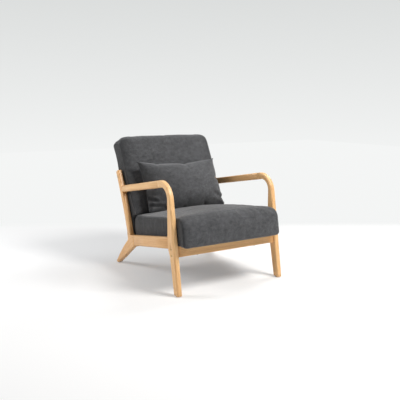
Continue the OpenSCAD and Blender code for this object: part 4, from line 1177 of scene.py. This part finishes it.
def calmed(values, flat, rounds):
    # Smooths what the cloth run added, except near the two ends, where the creases gather
    start, end = pillow["calmTo"]
    keep = mix(pillow["calm"], 1, np.clip((np.abs(spotS) - start) / (end - start), 0, 1))[:, None]
    broad = smoothField(pillowPiece.data, values - flat, rounds)
    return flat + broad + (values - flat - broad) * keep


def plumped(z):
    # Draws the low form of the pillow towards a lens, fuller in front, and keeps its wrinkles
    broad = smoothField(pillowPiece.data, z[:, None], pillow["broadRounds"])[:, 0]
    lens = sheets * pillow["thick"] / 2 * (1 - np.abs(spotS) ** 2.3) * (1 - np.abs(spotT) ** 2.1)
    out = mix(broad, lens, pillow["lens"]) + (z - broad)
    return np.where(out > 0, out * pillow["frontFull"], out)


def blownPillow():
    flat = np.array(verts)
    runCloth(pillowPiece, np.zeros(len(verts)), pillow["cloth"])
    local = coords(pillowPiece.data)
    print("pillow blown up to", np.round(np.ptp(local, axis=0) * 1000, 1), "mm")
    local[:, 2:] = smoothField(pillowPiece.data, local[:, 2:], pillow["softer"])
    local[:, :2] = calmed(local[:, :2], flat[:, :2], pillow["calmRounds"][0])
    local[:, 2:] = calmed(local[:, 2:], 0, pillow["calmRounds"][1])
    return local


def softFold(flat, x, h, toX, toH, width, height):
    # A low ridge, or a crease where the height is below nothing, between two points of a flat plan
    a, d = np.array([x, h]), np.array([toX - x, toH - h])
    t = np.clip((flat - a) @ d / (d @ d), 0, 1)
    gap = np.linalg.norm(flat - (a + t[:, None] * d), axis=1)
    return height * np.exp(-(gap / width) ** 2) * np.sin(np.pi * (0.2 + 0.65 * t))


def keepClear(piece, others, gap):
    co, count = coords(piece.data), 0
    for other in others:
        mesh = other.data
        tree = BVHTree.FromPolygons([v.co for v in mesh.vertices], [tuple(p.vertices) for p in mesh.polygons])
        for i, p in enumerate(co):
            spot, normal, _, _ = tree.find_nearest(Vector(p), 0.03)
            if spot is not None and (Vector(p) - spot).dot(normal) < gap:
                co[i] = np.array(spot + normal * gap)
                count += 1
    setCoords(piece.data, co)
    return count


def setPillowPaintedShade(piece):
    # Painted shade, as on the side panels: darker where the pillow turns to the left, and a little where it
    # turns down towards its foot
    across, _, up = vertexNormals(piece.data).T
    (left, leftAt), (foot, footAt) = pillow["paintedShadeLeft"], pillow["paintedShadeFoot"]
    painted_shade = left * np.clip(-across / leftAt, 0, 1) + foot * np.clip((footAt - up) / footAt, 0, 1)
    store(piece, "painted_shade", np.clip(painted_shade, 0, 1))


verts, faces, spots = flatPillow()
spotS, spotT = np.array([sheetPlace(i, j) for i, j, _ in spots]).T
sheets = np.array([sheet for _, _, sheet in spots])
pillowPiece = newPiece("lumbar_pillow", verts, faces)
local = blownPillow()
local = hang(local - (local.max(0) + local.min(0)) / 2)
local[:, 2] = plumped(local[:, 2] * pillow["thick"] / np.ptp(local[:, 2]))
for fold in pillow["folds"]:
    local[:, 2] += softFold(local[:, :2], *fold) * (sheets > 0)
setCoords(pillowPiece.data, np.array([[x, *(pillowFoot + backDir * h + backOut * q)] for x, h, q in local]))
fixNormals(pillowPiece)
subdivide = pillowPiece.modifiers.new("finer", "SUBSURF")
subdivide.levels = subdivide.render_levels = 1
applyModifiers(pillowPiece)
print("pillow points moved clear:", keepClear(pillowPiece, [seatPiece, backPiece], pillow["clear"]))
smoothAll(pillowPiece)
# Painted shade where the pillow turns left and down
setPillowPaintedShade(pillowPiece)
placed(pillowPiece, finishes["pillow_fabric"], "pillow", "pillow_fabric", "pillow_cover", "pillow_fill")

# The closed zip, along the foot seam of the pillow
zipSizes = {"length": 0.360, "thick": 0.0016, "tall": 0.0030, "above": 0.0012, "sides": 12, "square": 0.6}


def zipStrip():
    z, loops = zipSizes, []
    foot = coords(pillowPiece.data)[[spots[(i, 0, 0)] for i in range(columns + 1)]]
    for p in foot[np.abs(foot[:, 0]) <= z["length"] / 2]:
        ring = []
        for a in np.linspace(0, 2 * math.pi, z["sides"], False):
            out, up = math.cos(a), math.sin(a)
            grow = 1 / max(abs(out), abs(up)) ** z["square"]
            at = (backOut * out * z["thick"] / 2 + backDir * up * z["tall"] / 2) * grow + backDir * z["above"]
            ring.append((p[0], *(p[1:] + at)))
        loops.append(ring)
    placed(loopPiece("zip_strip", loops), finishes["zip"], "pillow", "zip", "pillow_zip")


zipStrip()
print("pillow made")

# Camera where the photo was taken from, measured from the toe of the front leg
view = {"x": -1.6015, "fromToe": -2.3157, "height": 0.9394, "yaw": 31.173, "pitch": 9.61, "roll": -0.13,
        "lens": 50.2}
camera = bpy.data.objects.new("camera", bpy.data.cameras.new("camera"))
camera.data.lens, camera.data.sensor_width = view["lens"], 36.0
camera.location = (view["x"], toeY + view["fromToe"], view["height"])
camera.rotation_euler = (Matrix.Rotation(math.radians(-view["yaw"]), 3, "Z")
                         @ Matrix.Rotation(math.radians(90 - view["pitch"]), 3, "X")
                         @ Matrix.Rotation(math.radians(view["roll"]), 3, "Z")).to_euler()
scene.collection.objects.link(camera)
scene.camera = camera

# Pale floor that turns softly to the wall's tone behind the chair, and plain soft light
studio = {
    "floorColour": (0.90, 0.90, 0.90), "floorSeen": (1.0, 1.0, 1.0), "floorShare": 0.24,
    "farFloor": (2.2, 4.2), "wall": (0.905, 0.915, 0.910), "wallHigh": (0.700, 0.715, 0.710),
    "wallRise": (-0.10, 0.20), "floorHalf": 9, "floorDrop": 0.0002,
    "wallAt": 4.30, "wallBlend": 0.35, "worldLight": 0.25, "aimHeight": 0.35,
    "lamps": {
        "key": {"at": (1.85, -1.07, 2.73), "size": 1.2, "power": 94, "colour": (1.0, 0.985, 0.96)},
        "left": {"at": (-2.90, 0.0, 1.70), "size": 1.3, "power": 47, "colour": (0.97, 0.985, 1.0)},
        "rear": {"at": (1.64, 1.38, 2.73), "size": 1.2, "power": 38, "colour": (0.98, 0.99, 1.0)},
    },
}
yaw = math.radians(view["yaw"])
forward, right = Vector((math.sin(yaw), math.cos(yaw), 0)), Vector((math.cos(yaw), -math.sin(yaw), 0))


def seenByEye(n):
    path = n.add("LightPath").outputs
    return n.math("MAXIMUM", n.math("MAXIMUM", path["Is Camera Ray"], path["Is Glossy Ray"]),
                  path["Is Transmission Ray"])


def floorMaterial():
    n = Nodes("Pale studio floor")
    n.tree.nodes.remove(n.tree.nodes["Principled BSDF"])
    place = n.add("NewGeometry").outputs["Position"]
    away = n.add("VectorMath", {0: place, 1: forward}, operation="DOT_PRODUCT").outputs["Value"]
    start, blend = camera.location.dot(forward) + studio["wallAt"], studio["wallBlend"] / 2
    beyond = n.add("MapRange", {"Value": away, "From Min": start - blend, "From Max": start + blend},
                   interpolation_type="SMOOTHERSTEP").outputs[0]
    far = n.add("VectorMath", {0: place}, operation="LENGTH").outputs["Value"]
    beyond = n.math("MAXIMUM", beyond, n.range(far, *studio["farFloor"]))
    lit = n.add("BsdfDiffuse", {"Color": studio["floorColour"]}).outputs[0]
    seen = n.add("Emission", {"Color": n.blend(beyond, studio["floorSeen"], studio["wall"])}).outputs[0]
    share = n.times(seenByEye(n), n.range(beyond, 0, 1, studio["floorShare"], 1))
    both = n.add("MixShader", {0: share, 1: lit, 2: seen}).outputs[0]
    n.feed(n.tree.nodes["Material Output"].inputs["Surface"], both)
    return n.owner


def studioWorld():
    n = Nodes("studio", bpy.data.worlds)
    n.tree.nodes.clear()
    rise = n.range(n.split(n.add("TexCoord").outputs["Generated"])["Z"], *studio["wallRise"])
    lit = n.add("Background", {"Color": (1, 1, 1), "Strength": studio["worldLight"]}).outputs[0]
    seen = n.add("Background", {"Color": n.blend(rise, studio["wall"], studio["wallHigh"])}).outputs[0]
    both = n.add("MixShader", {0: seenByEye(n), 1: lit, 2: seen}).outputs[0]
    n.add("OutputWorld", {"Surface": both})
    return n.owner


far, corners = studio["floorHalf"], ((-1, -1), (1, -1), (1, 1), (-1, 1))
floor = newPiece("floor", [(x * far, y * far, 0) for x, y in corners], [(0, 1, 2, 3)])
floor.location.z = -studio["floorDrop"]
floor.data.materials.append(floorMaterial())
scene.world = studioWorld()
for name, lamp in studio["lamps"].items():
    data = bpy.data.lights.new(name, "AREA")
    data.shape, data.size, data.energy, data.color = "DISK", lamp["size"], lamp["power"], lamp["colour"]
    made = bpy.data.objects.new(name, data)
    across, away, up = lamp["at"]
    made.location = right * across + forward * away + Vector((0, 0, up))
    aim = Vector((0, 0, studio["aimHeight"])) - made.location
    made.rotation_euler = aim.to_track_quat("-Z", "Y").to_euler()
    scene.collection.objects.link(made)
print("studio made")
